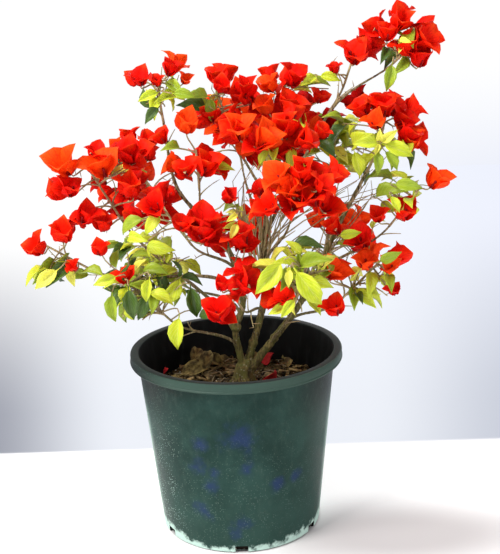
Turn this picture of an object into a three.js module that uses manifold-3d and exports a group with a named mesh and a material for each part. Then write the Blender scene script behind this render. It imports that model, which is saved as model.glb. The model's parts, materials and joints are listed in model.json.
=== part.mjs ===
// A bougainvillea in a plastic nursery pot: pot, potting mix, a short flared trunk that forks into three
// stems, the boughs that leave them, and one mass of twigs, leaves and three-bracted blooms at each tip.
// Millimetres, +Z up, origin at the centre of the pot's flat underside, seen from the front along +Y.

import * as THREE from 'three';
import { mergeVertices } from 'three/addons/utils/BufferGeometryUtils.js';
import Module from 'manifold-3d';

const wasm = await Module();
wasm.setup();

const TURN = 2 * Math.PI;
const UP = new THREE.Vector3(0, 0, 1);
const GOLDEN_ANGLE = Math.PI * (3 - Math.sqrt(5));

// The gaps that separate pieces keep where they touch, wider where a tube is cut at a slant.
const SEAT_GAP = 0.3;
const TRUNK_GAP = SEAT_GAP * 1.2;
const LIMB_GAP = SEAT_GAP * 1.3;

const MERGE_DISTANCE = 1e-4;

// An axis that rises more than this share of its length counts as upright.
const NEARLY_UPRIGHT = 0.9;

const POT = {
  rimRadius: 125,
  height: 218,
  baseRadius: 95.5,
  wallRadiusUnderRim: 116,
  wall: 2,
  base: 3,
  skirtHeight: 11,
  skirtThickness: 1.6,
  lipThickness: 2,
  chamfer: 1.5,
  facets: 48,
  drainSlots: 6,
  drainWidth: 15,
  drainHeight: 9,
  drainDepth: 7,
  firstDrainAngle: THREE.MathUtils.degToRad(-90),
};

const MIX = {
  level: 168,
  seatRadius: 26,
  rings: [100, 82, 52],
  rimDrop: 4,
  unevenness: 3.5,
  broadWave: [17, 14],
  fineWave: 9,
  fineShare: 0.6,
};

const TRUNK = {
  foot: new THREE.Vector3(7, 0, MIX.level + SEAT_GAP),
  top: new THREE.Vector3(12, -1, 203),
  footRadius: 17,
  waistRadius: 11,
  crestRadius: 7,
  domeShare: 0.7,
  buttresses: 5,
  buttressShare: 0.26,
  sides: 20,
  rows: 6,
};

// Blooms and leaves are a little larger than life, as the solids carry fewer of them than the plant.
const BLOOM = {
  bracts: 3,
  bractLength: 31,
  opening: THREE.MathUtils.degToRad(44),
  valleyShare: 0.5,
  valleyRise: 0.3,
  thickness: 2.4,
  rootOffset: 3.2,
  rootSink: 0.6,
  lift: 0.45,
  smallest: 0.85,
  biggest: 1.1,
};

const LEAF = {
  length: 40,
  widthShare: 0.5,
  ridgeShare: 0.42,
  thickness: 1.8,
  fold: 0.1,
  droop: 0.16,
  rootDepth: 0.3,
  tipOverlap: 1.5,
  smallest: 0.8,
  biggest: 1.15,
};

const TWIG = {
  stemSides: 5,
  stemRows: 3,
  stemTip: 1.2,
  leastPastCentre: 2,
  shootSides: 3,
  shootFoot: 0.95,
  shootTip: 0.75,
};

// A mass's shoots spiral down its stem. These are how many there are, their share of the way along it,
// how far they lean towards its tip, and where their leaves are.
const SHOOTS = {
  perSquareCm: 0.054,
  leaves: 3,
  lowestLeaf: 0.35,
  leafyShare: 0.45,
  leafSag: 0.1,
  highest: 0.86,
  lowest: 0.14,
  mostForward: 0.8,
  mostBackward: -0.72,
  lengthShares: [1, 0.86, 0.72, 0.58, 0.44],
  tipInset: 20,
};

// Masses keep this difference between their own and a neighbour's share of reach.
const SPACE_GAP = 0.04;
const LIMB_CLEARANCE = 0.9;

// A mass with a bigger share of blooms than this one is coloured as a blooming mass.
const MOSTLY_BLOOM = 0.45;

const COLOURS = {
  pot: { color: 0x35433f, roughness: 0.55, metalness: 0 },
  mix: { color: 0x33261b, roughness: 0.95, metalness: 0 },
  bark: { color: 0x5f5138, roughness: 0.85, metalness: 0 },
  redMass: { color: 0xe31505, roughness: 0.6, metalness: 0 },
  greenMass: { color: 0x8fae22, roughness: 0.55, metalness: 0 },
};

// The three stems, through the bends that the plant shows, each to the mass that it ends in.
// Then the boughs: the limb each one leaves, and where along it. Places and reaches are in millimetres.
const LIMBS = [
  { name: 'left_stem', from: 'trunk', start: [9, -1, 184], foot: 5, tip: 1.6,
    bends: [[4, -5, 212], [0, -9, 240], [10, -4, 274], [-8, 4, 342], [-38, 9, 376], [-62, 12, 410]],
    mass: { name: 'spray_upper_left', place: [-76, 6, 520], reach: [52, 42, 42], bloom: 0.75, seed: 11 } },
  { name: 'middle_stem', from: 'trunk', start: [12, 1, 184], foot: 5.4, tip: 2.2,
    bends: [[18, 4, 212], [26, 6, 238], [35, 9, 276], [34, 9, 325], [40, 6, 372]],
    mass: { name: 'crown_centre', place: [50, -22, 470], reach: [66, 60, 48], bloom: 1, seed: 12 } },
  { name: 'right_stem', from: 'trunk', start: [13, -2, 184], foot: 5.4, tip: 2,
    bends: [[28, -5, 206], [46, -7, 230], [64, -10, 254], [92, -6, 296], [118, 0, 352]],
    mass: { name: 'crown_right', place: [170, 4, 466], reach: [62, 56, 54], bloom: 0.85, seed: 13 } },

  { name: 'bough_left_side', from: 'left_stem', leaves: 0.17, foot: 3,
    mass: { name: 'side_left', place: [-150, -4, 420], reach: [66, 58, 54], bloom: 0.95, seed: 14 } },
  { name: 'bough_left_tip', from: 'left_stem', leaves: 0.33, foot: 2.6,
    mass: { name: 'tip_left', place: [-204, -2, 342], reach: [54, 48, 42], bloom: 0.6, seed: 15 } },
  { name: 'bough_low_left', from: 'left_stem', leaves: 0.12, foot: 2.4,
    mass: { name: 'low_left', place: [-106, -26, 294], reach: [64, 56, 50], bloom: 0.15, seed: 16 } },
  { name: 'bough_inner_left', from: 'left_stem', leaves: 0.4, foot: 2.4,
    mass: { name: 'inner_left', place: [-66, -50, 386], reach: [60, 50, 46], bloom: 0.8, seed: 17 } },
  { name: 'bough_shoulder_left', from: 'left_stem', leaves: 0.62, foot: 2.2,
    mass: { name: 'shoulder_left', place: [-36, -14, 444], reach: [50, 46, 42], bloom: 0.75, seed: 18 } },
  { name: 'bough_back_left', from: 'left_stem', leaves: 0.46, foot: 2.6,
    mass: { name: 'back_left', place: [-112, 104, 412], reach: [66, 62, 56], bloom: 0.75, seed: 19 } },
  { name: 'bough_low_back_left', from: 'left_stem', leaves: 0.24, foot: 2.4,
    mass: { name: 'low_back_left', place: [-98, 108, 308], reach: [62, 58, 46], bloom: 0.4, seed: 20 } },

  { name: 'bough_crown_left', from: 'middle_stem', leaves: 0.8, foot: 2.3,
    mass: { name: 'crown_left', place: [-10, 42, 506], reach: [52, 50, 40], bloom: 0.85, seed: 21 } },
  { name: 'bough_crown_top', from: 'middle_stem', leaves: 0.72, foot: 2.4,
    mass: { name: 'crown_top', place: [58, 52, 508], reach: [62, 54, 42], bloom: 0.95, seed: 22 } },
  { name: 'bough_front', from: 'middle_stem', leaves: 0.5, foot: 2.4,
    mass: { name: 'front', place: [72, -92, 416], reach: [58, 52, 46], bloom: 1, seed: 23 } },
  { name: 'bough_low_front', from: 'middle_stem', leaves: 0.3, foot: 2.2,
    mass: { name: 'low_front', place: [0, -76, 304], reach: [44, 42, 46], bloom: 0.9, seed: 24 } },
  { name: 'bough_back', from: 'middle_stem', leaves: 0.62, foot: 2.6,
    mass: { name: 'back', place: [8, 136, 452], reach: [66, 60, 54], bloom: 0.85, seed: 25 } },
  { name: 'bough_low_back', from: 'middle_stem', leaves: 0.36, foot: 2.6,
    mass: { name: 'low_back', place: [14, 138, 334], reach: [62, 58, 50], bloom: 0.5, seed: 26 } },
  { name: 'bough_top_tip', from: 'middle_stem', leaves: 0.66, foot: 2.6,
    bends: [[87, 18, 440], [125, 15, 500]],
    mass: { name: 'tip_top_right', place: [201, 10, 565], reach: [48, 46, 44], bloom: 0.95, seed: 27 } },

  { name: 'bough_top_shoulder', from: 'bough_top_tip', leaves: 0.62, foot: 1.7,
    mass: { name: 'shoulder_top', place: [143, 22, 550], reach: [40, 38, 36], bloom: 0.9, seed: 28 } },

  { name: 'bough_right_side', from: 'right_stem', leaves: 0.52, foot: 2.4,
    mass: { name: 'side_right', place: [206, -6, 392], reach: [52, 48, 44], bloom: 0.7, seed: 29 } },
  { name: 'bough_low_right', from: 'right_stem', leaves: 0.3, foot: 2.4,
    mass: { name: 'low_right', place: [152, -24, 308], reach: [60, 56, 50], bloom: 0.7, seed: 30 } },
  { name: 'bough_front_right', from: 'right_stem', leaves: 0.16, foot: 2.2,
    mass: { name: 'front_right', place: [76, -84, 322], reach: [52, 50, 46], bloom: 0.35, seed: 31 } },
  { name: 'bough_back_right', from: 'right_stem', leaves: 0.6, foot: 2.6,
    mass: { name: 'back_right', place: [126, 108, 428], reach: [64, 62, 56], bloom: 0.8, seed: 32 } },
  { name: 'bough_low_back_right', from: 'right_stem', leaves: 0.36, foot: 2.4,
    mass: { name: 'low_back_right', place: [122, 102, 318], reach: [60, 56, 48], bloom: 0.5, seed: 33 } },
];

const LIMB_SHAPE = {
  sides: 6,
  rows: 8,
  stemRows: 14,
  boughTip: 1.4,
  alongParent: 0.6,
  bow: 0.35,
  lift: 0.35,
  entryShare: 0.86,
};

const vector = ([x, y, z]) => new THREE.Vector3(x, y, z);

/** A repeatable number from 0 to 1 for any list of whole-number keys. */
function chance(...keys) {
  let mixed = 0x2545f491;
  for (const key of keys) {
    mixed = Math.imul(mixed ^ key, 0x9e3779b1);
    mixed ^= mixed >>> 15;
    mixed = Math.imul(mixed, 0x85ebca6b);
    mixed ^= mixed >>> 13;
  }
  return (mixed >>> 0) / 2 ** 32;
}

/** A repeatable number between two bounds. */
const between = (low, high, ...keys) => low + (high - low) * chance(...keys);

/** The closed solid of a three.js geometry whose faces point out. */
function solidOf(geometry) {
  const bare = geometry.clone();
  bare.deleteAttribute('normal');
  bare.deleteAttribute('uv');
  const merged = mergeVertices(bare, MERGE_DISTANCE);
  return new wasm.Manifold(new wasm.Mesh({
    numProp: 3,
    vertProperties: merged.attributes.position.array,
    triVerts: new Uint32Array(merged.index.array),
  }));
}

/** A three.js geometry with the faces of a solid. */
function geometryOf(solid) {
  const { vertProperties, triVerts } = solid.getMesh();
  const geometry = new THREE.BufferGeometry();
  geometry.setAttribute('position', new THREE.BufferAttribute(new Float32Array(vertProperties), 3));
  geometry.setIndex(new THREE.BufferAttribute(new Uint32Array(triVerts), 1));
  geometry.computeVertexNormals();
  return geometry;
}

/** The biggest body of a solid, without the scraps that a cut leaves loose. */
const mainBody = (solid) => solid.decompose().reduce((a, b) => (a.volume() > b.volume() ? a : b));

/** Moves each vertex of a geometry to where a function puts it. */
function reshape(geometry, moved) {
  const position = geometry.attributes.position;
  const point = new THREE.Vector3();
  for (let i = 0; i < position.count; i += 1) {
    point.fromBufferAttribute(position, i);
    const { x, y, z } = moved(point);
    position.setXYZ(i, x, y, z);
  }
  return geometry;
}

/**
 * A closed tube bent along a curve: a unit cylinder whose rows are laid on the curve and scaled by the
 * girth at that share of its length and that angle round it.
 */
function bentTube(curve, girth, sides, rows) {
  const frames = curve.computeFrenetFrames(rows);
  const tube = new THREE.CylinderGeometry(1, 1, 1, sides, rows);
  return reshape(tube, (point) => {
    const row = Math.round((point.y + 0.5) * rows);
    const radius = girth(row / rows, Math.atan2(point.z, point.x));
    return curve.getPointAt(row / rows)
      .addScaledVector(frames.normals[row], point.x * radius)
      .addScaledVector(frames.binormals[row], -point.z * radius);
  });
}

/** A straight taper from the foot's radius to the tip's. */
const taper = (foot, tip) => (share) => foot + (tip - foot) * share;

/** Turns and moves a geometry so that its +X lies along an axis and its +Y is near a normal. */
function aim(geometry, origin, axis, normal) {
  const along = axis.clone().normalize();
  const across = along.clone().cross(normal).normalize();
  const upright = across.clone().cross(along);
  const turn = new THREE.Matrix4().makeBasis(along, upright, across).setPosition(origin);
  return geometry.applyMatrix4(turn);
}

/** Radius of the outside of the pot's wall at a height. */
function wallRadius(z) {
  const flare = (POT.wallRadiusUnderRim - POT.baseRadius) / (POT.height - POT.skirtHeight);
  return POT.baseRadius + flare * z;
}

/** The solid that a profile of [radius, height] pairs sweeps round the pot's axis. */
function turned(profile, changed = (geometry) => geometry) {
  const points = profile.map(([radius, height]) => new THREE.Vector2(radius, height));
  return solidOf(changed(new THREE.LatheGeometry(points, POT.facets).rotateX(Math.PI / 2)));
}

/** The pot: a turned shell with a turned-down lip, less its drain slots round the foot. */
function makePot() {
  const { rimRadius, height, base, chamfer } = POT;
  const inside = (z) => wallRadius(z) - POT.wall;
  const lipUnder = height - POT.lipThickness;
  const skirtFoot = height - POT.skirtHeight;
  const skirtInside = rimRadius - POT.skirtThickness;
  const shell = turned([
    [0, 0],
    [POT.baseRadius - chamfer, 0],
    [wallRadius(chamfer), chamfer],
    [wallRadius(lipUnder), lipUnder],
    [skirtInside, lipUnder],
    [skirtInside, skirtFoot],
    [rimRadius, skirtFoot],
    [rimRadius, height - chamfer],
    [rimRadius - chamfer, height],
    [inside(height) + chamfer, height],
    [inside(height - chamfer), height - chamfer],
    [inside(base), base],
    [0, base],
  ]);
  const slots = Array.from({ length: POT.drainSlots }, (_, i) => solidOf(
    new THREE.BoxGeometry(2 * POT.drainDepth, POT.drainWidth, 2 * POT.drainHeight)
      .translate(POT.baseRadius, 0, 0)
      .rotateZ(POT.firstDrainAngle + (TURN * i) / POT.drainSlots),
  ));
  return slots.reduce((pot, slot) => pot.subtract(slot), shell);
}

/** Height of the potting mix over its level: gentle bumps that fade out towards the trunk's seat. */
function unevenMix(x, y) {
  const fade = THREE.MathUtils.smoothstep(Math.hypot(x, y), MIX.seatRadius, MIX.rings.at(-1));
  const [waveX, waveY] = MIX.broadWave;
  const broad = Math.sin(x / waveX + 1) * Math.cos(y / waveY);
  const fine = MIX.fineShare * Math.sin((x + y) / MIX.fineWave);
  return fade * MIX.unevenness * (broad + fine);
}

/** The potting mix that fills the pot, with a flat seat for the trunk. */
function makeMix() {
  const inside = (z) => wallRadius(z) - POT.wall - SEAT_GAP;
  const foot = POT.base + SEAT_GAP;
  const edge = MIX.level - MIX.rimDrop;
  const profile = [
    [0, foot],
    [inside(foot), foot],
    [inside(edge), edge],
    ...MIX.rings.map((radius) => [radius, MIX.level]),
    [MIX.seatRadius, MIX.level],
    [0, MIX.level],
  ];
  return turned(profile, (geometry) => reshape(geometry, (point) => {
    const isTop = point.z > edge + MIX.rimDrop / 2;
    return isTop ? point.setZ(point.z + unevenMix(point.x, point.y)) : point;
  }));
}

/** The trunk: buttressed at its flat foot, waisted, and domed where it forks. */
function makeTrunk(grown = 0) {
  const rise = TRUNK.top.z - TRUNK.foot.z;
  const curve = new THREE.QuadraticBezierCurve3(
    TRUNK.foot,
    TRUNK.foot.clone().addScaledVector(UP, rise * 0.5),
    TRUNK.top,
  );
  const girth = (share, angle) => {
    const flare = (1 - share) ** 3;
    const crest = THREE.MathUtils.smoothstep(share, TRUNK.domeShare, 1);
    const buttress = 1 + TRUNK.buttressShare * flare * Math.cos(TRUNK.buttresses * angle);
    const stout = TRUNK.waistRadius + (TRUNK.footRadius - TRUNK.waistRadius) * flare;
    return (stout + (TRUNK.crestRadius - TRUNK.waistRadius) * crest) * buttress + grown;
  };
  return solidOf(bentTube(curve, girth, TRUNK.sides, TRUNK.rows));
}

/** How far a mass reaches from its centre in a direction. */
const reachAlong = (mass, way) => 1 / way.clone().divide(mass.reach).length();

/** The curve of a limb, and where it hands over to the mass at its tip. */
function limbCurve(limb, limbs) {
  const { mass } = limb;
  const parent = limbs.get(limb.from);
  const start = parent ? parent.curve.getPointAt(limb.leaves) : vector(limb.start);
  const bends = (limb.bends ?? []).map(vector);
  const before = bends.at(-1) ?? start;
  const towards = mass.centre.clone().sub(before);
  const arrive = towards.clone().normalize().addScaledVector(UP, LIMB_SHAPE.lift).normalize();
  const entry = reachAlong(mass, arrive) * LIMB_SHAPE.entryShare;
  const mouth = mass.centre.clone().addScaledVector(arrive, -entry);
  if (bends.length) {
    const curve = new THREE.CatmullRomCurve3([start, ...bends, mouth], false, 'centripetal');
    return { arrive, curve };
  }
  const span = mouth.distanceTo(start);
  const leave = parent.curve.getTangentAt(limb.leaves).multiplyScalar(LIMB_SHAPE.alongParent)
    .add(towards.normalize()).normalize();
  return {
    arrive,
    curve: new THREE.CubicBezierCurve3(
      start,
      start.clone().addScaledVector(leave, span * LIMB_SHAPE.bow),
      mouth.clone().addScaledVector(arrive, -span * LIMB_SHAPE.bow),
      mouth,
    ),
  };
}

/** Whether two limbs both rise from the trunk's fork. */
const isStem = (...pair) => pair.every((limb) => limb.from === 'trunk');

/** Works out every limb's curve, taper and solid, each cut clear of what it leaves. */
function makeLimbs(trunk) {
  const limbs = new Map();
  for (const row of LIMBS) {
    const mass = { ...row.mass, centre: vector(row.mass.place), reach: vector(row.mass.reach) };
    const limb = { ...row, mass };
    Object.assign(limb, limbCurve(limb, limbs));
    limb.tip = row.tip ?? LIMB_SHAPE.boughTip;
    limb.rows = row.from === 'trunk' ? LIMB_SHAPE.stemRows : LIMB_SHAPE.rows;
    limb.tube = (grown) => solidOf(bentTube(
      limb.curve,
      taper(limb.foot + grown, limb.tip + grown),
      LIMB_SHAPE.sides,
      limb.rows,
    ));
    const seats = [...limbs.values()].filter((other) => other.name === row.from || isStem(other, row));
    const seat = seats.reduce((whole, other) => whole.add(other.tube(LIMB_GAP)), trunk);
    limb.solid = mainBody(limb.tube(0).subtract(seat));
    limbs.set(row.name, limb);
  }
  return limbs;
}

/** A leaf: a four-cornered blade with a ridge on each side, folded up and drooping at its tip. */
function makeLeaf(length, origin, axis, normal) {
  const blade = new THREE.SphereGeometry(1, 4, 2);
  const half = (length * LEAF.widthShare) / 2;
  reshape(blade, ({ x, y, z }) => {
    const ridge = length * LEAF.ridgeShare;
    if (Math.abs(y) > 0.5) return { x: ridge, y: Math.sign(y) * LEAF.thickness / 2, z: 0 };
    if (Math.abs(z) > 0.5) return { x: ridge, y: length * LEAF.fold, z: Math.sign(z) * half };
    return x > 0 ? { x: length, y: -length * LEAF.droop, z: 0 } : { x: -LEAF.rootDepth, y: 0, z: 0 };
  });
  return solidOf(aim(blade, origin, axis, normal));
}

/** A bloom: three pointed bracts that open round one centre, as a six-cornered star. */
function makeBloom(size, origin, axis, spin) {
  const corners = 2 * BLOOM.bracts;
  const length = BLOOM.bractLength * size;
  const star = new THREE.SphereGeometry(1, corners, 2);
  reshape(star, ({ x, y, z }) => {
    if (Math.abs(y) > 0.5) return { x: 0, y: (Math.sign(y) * BLOOM.thickness) / 2, z: 0 };
    const angle = Math.atan2(z, x);
    const isTip = Math.round((angle / TURN) * corners + corners) % 2 === 0;
    const radius = isTip ? length * Math.cos(BLOOM.opening) : length * BLOOM.valleyShare;
    const rise = isTip ? length * Math.sin(BLOOM.opening) : length * BLOOM.valleyShare * BLOOM.valleyRise;
    return { x: radius * Math.cos(angle), y: rise, z: radius * Math.sin(angle) };
  });
  const sink = BLOOM.rootOffset * Math.sin(BLOOM.opening) * BLOOM.rootSink;
  star.translate(BLOOM.rootOffset, -sink, 0).rotateY(spin);
  const lean = Math.abs(axis.z) > NEARLY_UPRIGHT ? new THREE.Vector3(1, 0, 0) : UP;
  return solidOf(aim(star, origin, axis.clone().cross(lean), axis));
}

/** A point's share of a mass's reach: under 1 inside its space. */
const shareOfReach = (mass, point) => point.clone().sub(mass.centre).divide(mass.reach).length();

/** Whether a mass keeps to its own space, and clear of the limbs, with one more solid. */
function makeSpaceRule(mass, masses, woodGrown) {
  const owns = (point) => {
    const own = shareOfReach(mass, point);
    const isOwn = (other) => other === mass || shareOfReach(other, point) > own + SPACE_GAP;
    return own <= 1 && masses.every(isOwn);
  };
  return (solid) => {
    const { vertProperties } = solid.getMesh();
    for (let i = 0; i < vertProperties.length; i += 3) {
      if (!owns(new THREE.Vector3().fromArray(vertProperties, i))) return false;
    }
    return solid.intersect(woodGrown).isEmpty();
  };
}

/** The stem of a mass, which carries on from its limb's tip and through the middle of its space. */
function stemCurve({ mass, arrive, curve }) {
  const mouth = curve.getPointAt(1);
  const heading = curve.getTangentAt(1);
  const foot = mouth.addScaledVector(heading, SEAT_GAP);
  const pastCentre = Math.max(TWIG.leastPastCentre, reachAlong(mass, arrive) - BLOOM.bractLength);
  const end = mass.centre.clone().addScaledVector(arrive, pastCentre);
  return new THREE.QuadraticBezierCurve3(
    foot,
    foot.clone().addScaledVector(heading, foot.distanceTo(end) / 2),
    end,
  );
}

/** Where each shoot leaves a mass's stem, and the way it points from the middle of the mass. */
function* shootPlaces({ mass, arrive }) {
  const outside = (4 * Math.PI * (mass.reach.x * mass.reach.y * mass.reach.z) ** (2 / 3)) / 100;
  const count = Math.round(outside * SHOOTS.perSquareCm);
  const aside = new THREE.Vector3(0, 1, 0).cross(arrive).normalize();
  for (let i = 0; i < count; i += 1) {
    const down = (i + 0.5) / count;
    const lean = THREE.MathUtils.lerp(SHOOTS.mostForward, SHOOTS.mostBackward, down);
    const turn = i * GOLDEN_ANGLE + TURN * chance(mass.seed, 1);
    const way = aside.clone().applyAxisAngle(arrive, turn).multiplyScalar(Math.sqrt(1 - lean * lean))
      .addScaledVector(arrive, lean);
    yield { index: i, along: THREE.MathUtils.lerp(SHOOTS.highest, SHOOTS.lowest, down), way };
  }
}

/** The leaves below a shoot's tip, which turn round it by the golden angle. */
function shootLeaves(mass, index, from, tip) {
  const tangent = tip.clone().sub(from).normalize();
  const leaves = [];
  for (let j = 0; j < SHOOTS.leaves; j += 1) {
    const share = SHOOTS.lowestLeaf + (SHOOTS.leafyShare * j) / SHOOTS.leaves;
    const axis = new THREE.Vector3(1, 0, 0).cross(tangent).normalize()
      .applyAxisAngle(tangent, j * GOLDEN_ANGLE + TURN * chance(mass.seed, 2, index))
      .add(tangent).addScaledVector(UP, -SHOOTS.leafSag).normalize();
    const length = LEAF.length * between(LEAF.smallest, LEAF.biggest, mass.seed, 3, index, j);
    leaves.push(makeLeaf(length, from.clone().lerp(tip, share), axis, UP));
  }
  return leaves;
}

/** What a shoot ends in: a bloom, or a leaf that points on along it. */
function shootHead(mass, index, from, tip, way) {
  if (chance(mass.seed, 5, index) < mass.bloom) {
    const size = between(BLOOM.smallest, BLOOM.biggest, mass.seed, 4, index);
    const facing = way.clone().addScaledVector(UP, BLOOM.lift).normalize();
    return makeBloom(size, tip, facing, TURN * chance(mass.seed, 6, index));
  }
  const root = tip.clone().addScaledVector(way, -LEAF.tipOverlap);
  return makeLeaf(LEAF.length, root, tip.clone().sub(from), UP);
}

/** Grows one mass: a stem, shoots that spiral down it, and a bloom or leaf at each tip with leaves below. */
function growMass(limb, masses, woodGrown) {
  const { mass, arrive } = limb;
  const fits = makeSpaceRule(mass, masses, woodGrown);
  const stem = stemCurve(limb);
  const kept = [solidOf(bentTube(stem, taper(limb.tip, TWIG.stemTip), TWIG.stemSides, TWIG.stemRows))];
  const leader = makeBloom(1, stem.getPointAt(1), arrive, 0);
  if (fits(leader)) kept.push(leader);
  const isClear = (solid, root) => fits(solid)
    && kept.every((other) => other === root || solid.intersect(other).isEmpty());

  for (const { index, along, way } of shootPlaces(limb)) {
    const from = stem.getPointAt(along);
    const furthest = reachAlong(mass, way) - SHOOTS.tipInset;
    for (const share of SHOOTS.lengthShares) {
      const tip = mass.centre.clone().addScaledVector(way, furthest * share);
      const shoot = new THREE.LineCurve3(from, tip);
      const twig = solidOf(bentTube(shoot, taper(TWIG.shootFoot, TWIG.shootTip), TWIG.shootSides, 1));
      const head = shootHead(mass, index, from, tip, way);
      if (!isClear(twig, kept[0]) || !isClear(head)) continue;
      kept.push(twig, head);
      for (const leaf of shootLeaves(mass, index, from, tip)) {
        if (isClear(leaf, twig)) kept.push(leaf);
      }
      break;
    }
  }
  return mainBody(wasm.Manifold.union(kept));
}

const plant = new THREE.Group();

/** Adds one named piece, in its own material, to the plant. */
function addPiece(name, solid, finish) {
  const mesh = new THREE.Mesh(geometryOf(solid), new THREE.MeshStandardMaterial(COLOURS[finish]));
  mesh.name = name;
  plant.add(mesh);
}

const pot = makePot();
const trunk = makeTrunk();
const limbs = makeLimbs(makeTrunk(TRUNK_GAP));
const masses = [...limbs.values()].map((limb) => limb.mass);
const woodGrown = [...limbs.values()]
  .reduce((whole, limb) => whole.add(limb.tube(LIMB_CLEARANCE)), trunk.add(pot));

addPiece('pot', pot, 'pot');
addPiece('potting_mix', makeMix(), 'mix');
addPiece('trunk', trunk, 'bark');
for (const limb of limbs.values()) addPiece(limb.name, limb.solid, 'bark');
for (const limb of limbs.values()) {
  const finish = limb.mass.bloom > MOSTLY_BLOOM ? 'redMass' : 'greenMass';
  addPiece(`mass_${limb.mass.name}`, growMass(limb, masses, woodGrown), finish);
}

export default plant;
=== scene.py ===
"""Dresses a bougainvillea in a plastic nursery pot: pot, potting mix, wood, twigs, leaves and blooms.

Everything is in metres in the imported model's own frame, +Z up, with the front along -Y. The plant's
own sizes are given in millimetres, as its growth rule has them, and MM turns them into metres.
"""

import json
import logging
import math
from contextlib import contextmanager
from dataclasses import dataclass, field
from enum import Enum
from itertools import pairwise
from typing import Callable, Iterator, Sequence

import bmesh
import bpy
import numpy as np
from mathutils import Matrix, Vector, noise

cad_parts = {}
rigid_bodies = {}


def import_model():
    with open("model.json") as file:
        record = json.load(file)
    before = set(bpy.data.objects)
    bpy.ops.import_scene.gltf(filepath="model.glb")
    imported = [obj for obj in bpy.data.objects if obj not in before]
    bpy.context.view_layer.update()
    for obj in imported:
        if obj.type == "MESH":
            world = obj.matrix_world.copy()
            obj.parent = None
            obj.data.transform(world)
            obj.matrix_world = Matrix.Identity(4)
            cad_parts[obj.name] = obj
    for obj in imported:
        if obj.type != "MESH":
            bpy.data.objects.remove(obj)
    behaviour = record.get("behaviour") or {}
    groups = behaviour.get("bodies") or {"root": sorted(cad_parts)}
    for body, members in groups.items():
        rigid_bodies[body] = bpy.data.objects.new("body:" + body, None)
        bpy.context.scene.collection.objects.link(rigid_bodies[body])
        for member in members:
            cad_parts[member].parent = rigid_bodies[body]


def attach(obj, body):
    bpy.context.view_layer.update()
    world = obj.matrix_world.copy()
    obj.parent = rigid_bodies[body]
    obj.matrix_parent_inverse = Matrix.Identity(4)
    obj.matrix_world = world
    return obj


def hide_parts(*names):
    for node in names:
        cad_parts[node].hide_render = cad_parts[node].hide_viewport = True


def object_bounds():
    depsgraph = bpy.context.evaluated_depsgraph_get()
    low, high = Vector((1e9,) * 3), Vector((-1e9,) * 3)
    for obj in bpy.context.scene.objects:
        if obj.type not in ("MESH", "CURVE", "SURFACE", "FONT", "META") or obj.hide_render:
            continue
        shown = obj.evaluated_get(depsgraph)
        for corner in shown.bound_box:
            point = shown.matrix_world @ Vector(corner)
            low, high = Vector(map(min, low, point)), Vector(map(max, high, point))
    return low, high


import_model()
CAD_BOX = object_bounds()

Array = np.ndarray
Object = bpy.types.Object

MM = 0.001
TURN = 2 * math.pi
GOLDEN_ANGLE = math.pi * (3 - math.sqrt(5))
UP = np.array([0.0, 0.0, 1.0])
ACROSS = np.array([1.0, 0.0, 0.0])
FORWARD = np.array([0.0, -1.0, 0.0])
BODY = "root"

log = logging.getLogger("bougainvillea")


class Slot(str, Enum):
    """The record's material slots."""

    POT = "pot"
    MIX = "potting_mix"
    BARK = "bark"
    BLOOMING = "blooming_mass"
    LEAFY = "leafy_mass"


class Redness(Enum):
    """The tints that bracts are dealt."""

    SCARLET = "scarlet"
    ORANGE = "orange"
    CRIMSON = "crimson"
    DEEP = "deep_red"


class Greenness(Enum):
    """The tints that leaves are dealt."""

    LIME = "lime"
    YELLOW = "yellow_green"
    MIDDLE = "mid_green"
    DARK = "dark_green"


# Repeatable numbers and vectors


def chance(*keys: int) -> float:
    """Gives the growth rule's repeatable number from 0 to 1.

    Args:
        keys: whole numbers that name the draw.

    Returns:
        The same number each time for the same keys.
    """
    mixed = 0x2545F491
    for key in keys:
        mixed = ((mixed ^ key) * 0x9E3779B1) & 0xFFFFFFFF
        mixed ^= mixed >> 15
        mixed = (mixed * 0x85EBCA6B) & 0xFFFFFFFF
        mixed ^= mixed >> 13
    return mixed / 2**32


def between(low: float, high: float, *keys: int) -> float:
    """Gives a repeatable number between two bounds."""
    return low + (high - low) * chance(*keys)


def unit(vector: Array) -> Array:
    """Gives a vector's direction."""
    return vector / np.linalg.norm(vector)


def turned(vector: Array, axis: Array, angle: float) -> Array:
    """Turns a vector about an axis.

    Args:
        vector: the vector.
        axis: the axis, of length one.
        angle: the turn in radians.

    Returns:
        The turned vector.
    """
    along = axis * np.dot(axis, vector)
    return along + (vector - along) * math.cos(angle) + np.cross(axis, vector) * math.sin(angle)


def sideways(along: Array, angle: float, helper: Array = ACROSS) -> Array:
    """Gives a direction square to a line, turned round it by an angle."""
    return turned(unit(np.cross(helper, along)), along, angle)


def nearest_gap(points: Sequence[Array], place: Array,
                scale: Sequence[float] = (1, 1, 1)) -> float:
    """Gives how far the nearest of some points is from a place, with its axes scaled; endless for none.

    Args:
        points: the points.
        place: the place.
        scale: how much each axis counts.

    Returns:
        The distance.
    """
    if not points:
        return math.inf
    return float(np.min(np.linalg.norm((np.array(points) - place) * scale, axis=1)))


def basis(axis: Array, spin: float = 0.0) -> Array:
    """Gives a frame whose third column is an axis.

    Args:
        axis: the direction of the frame's Z.
        spin: its turn about that axis in radians.

    Returns:
        A 3x3 matrix whose columns are the frame's X, Y and Z.
    """
    upright = unit(axis)
    side = sideways(upright, spin, ACROSS if abs(upright[2]) > 0.9 else UP)
    return np.column_stack([side, np.cross(upright, side), upright])


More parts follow.
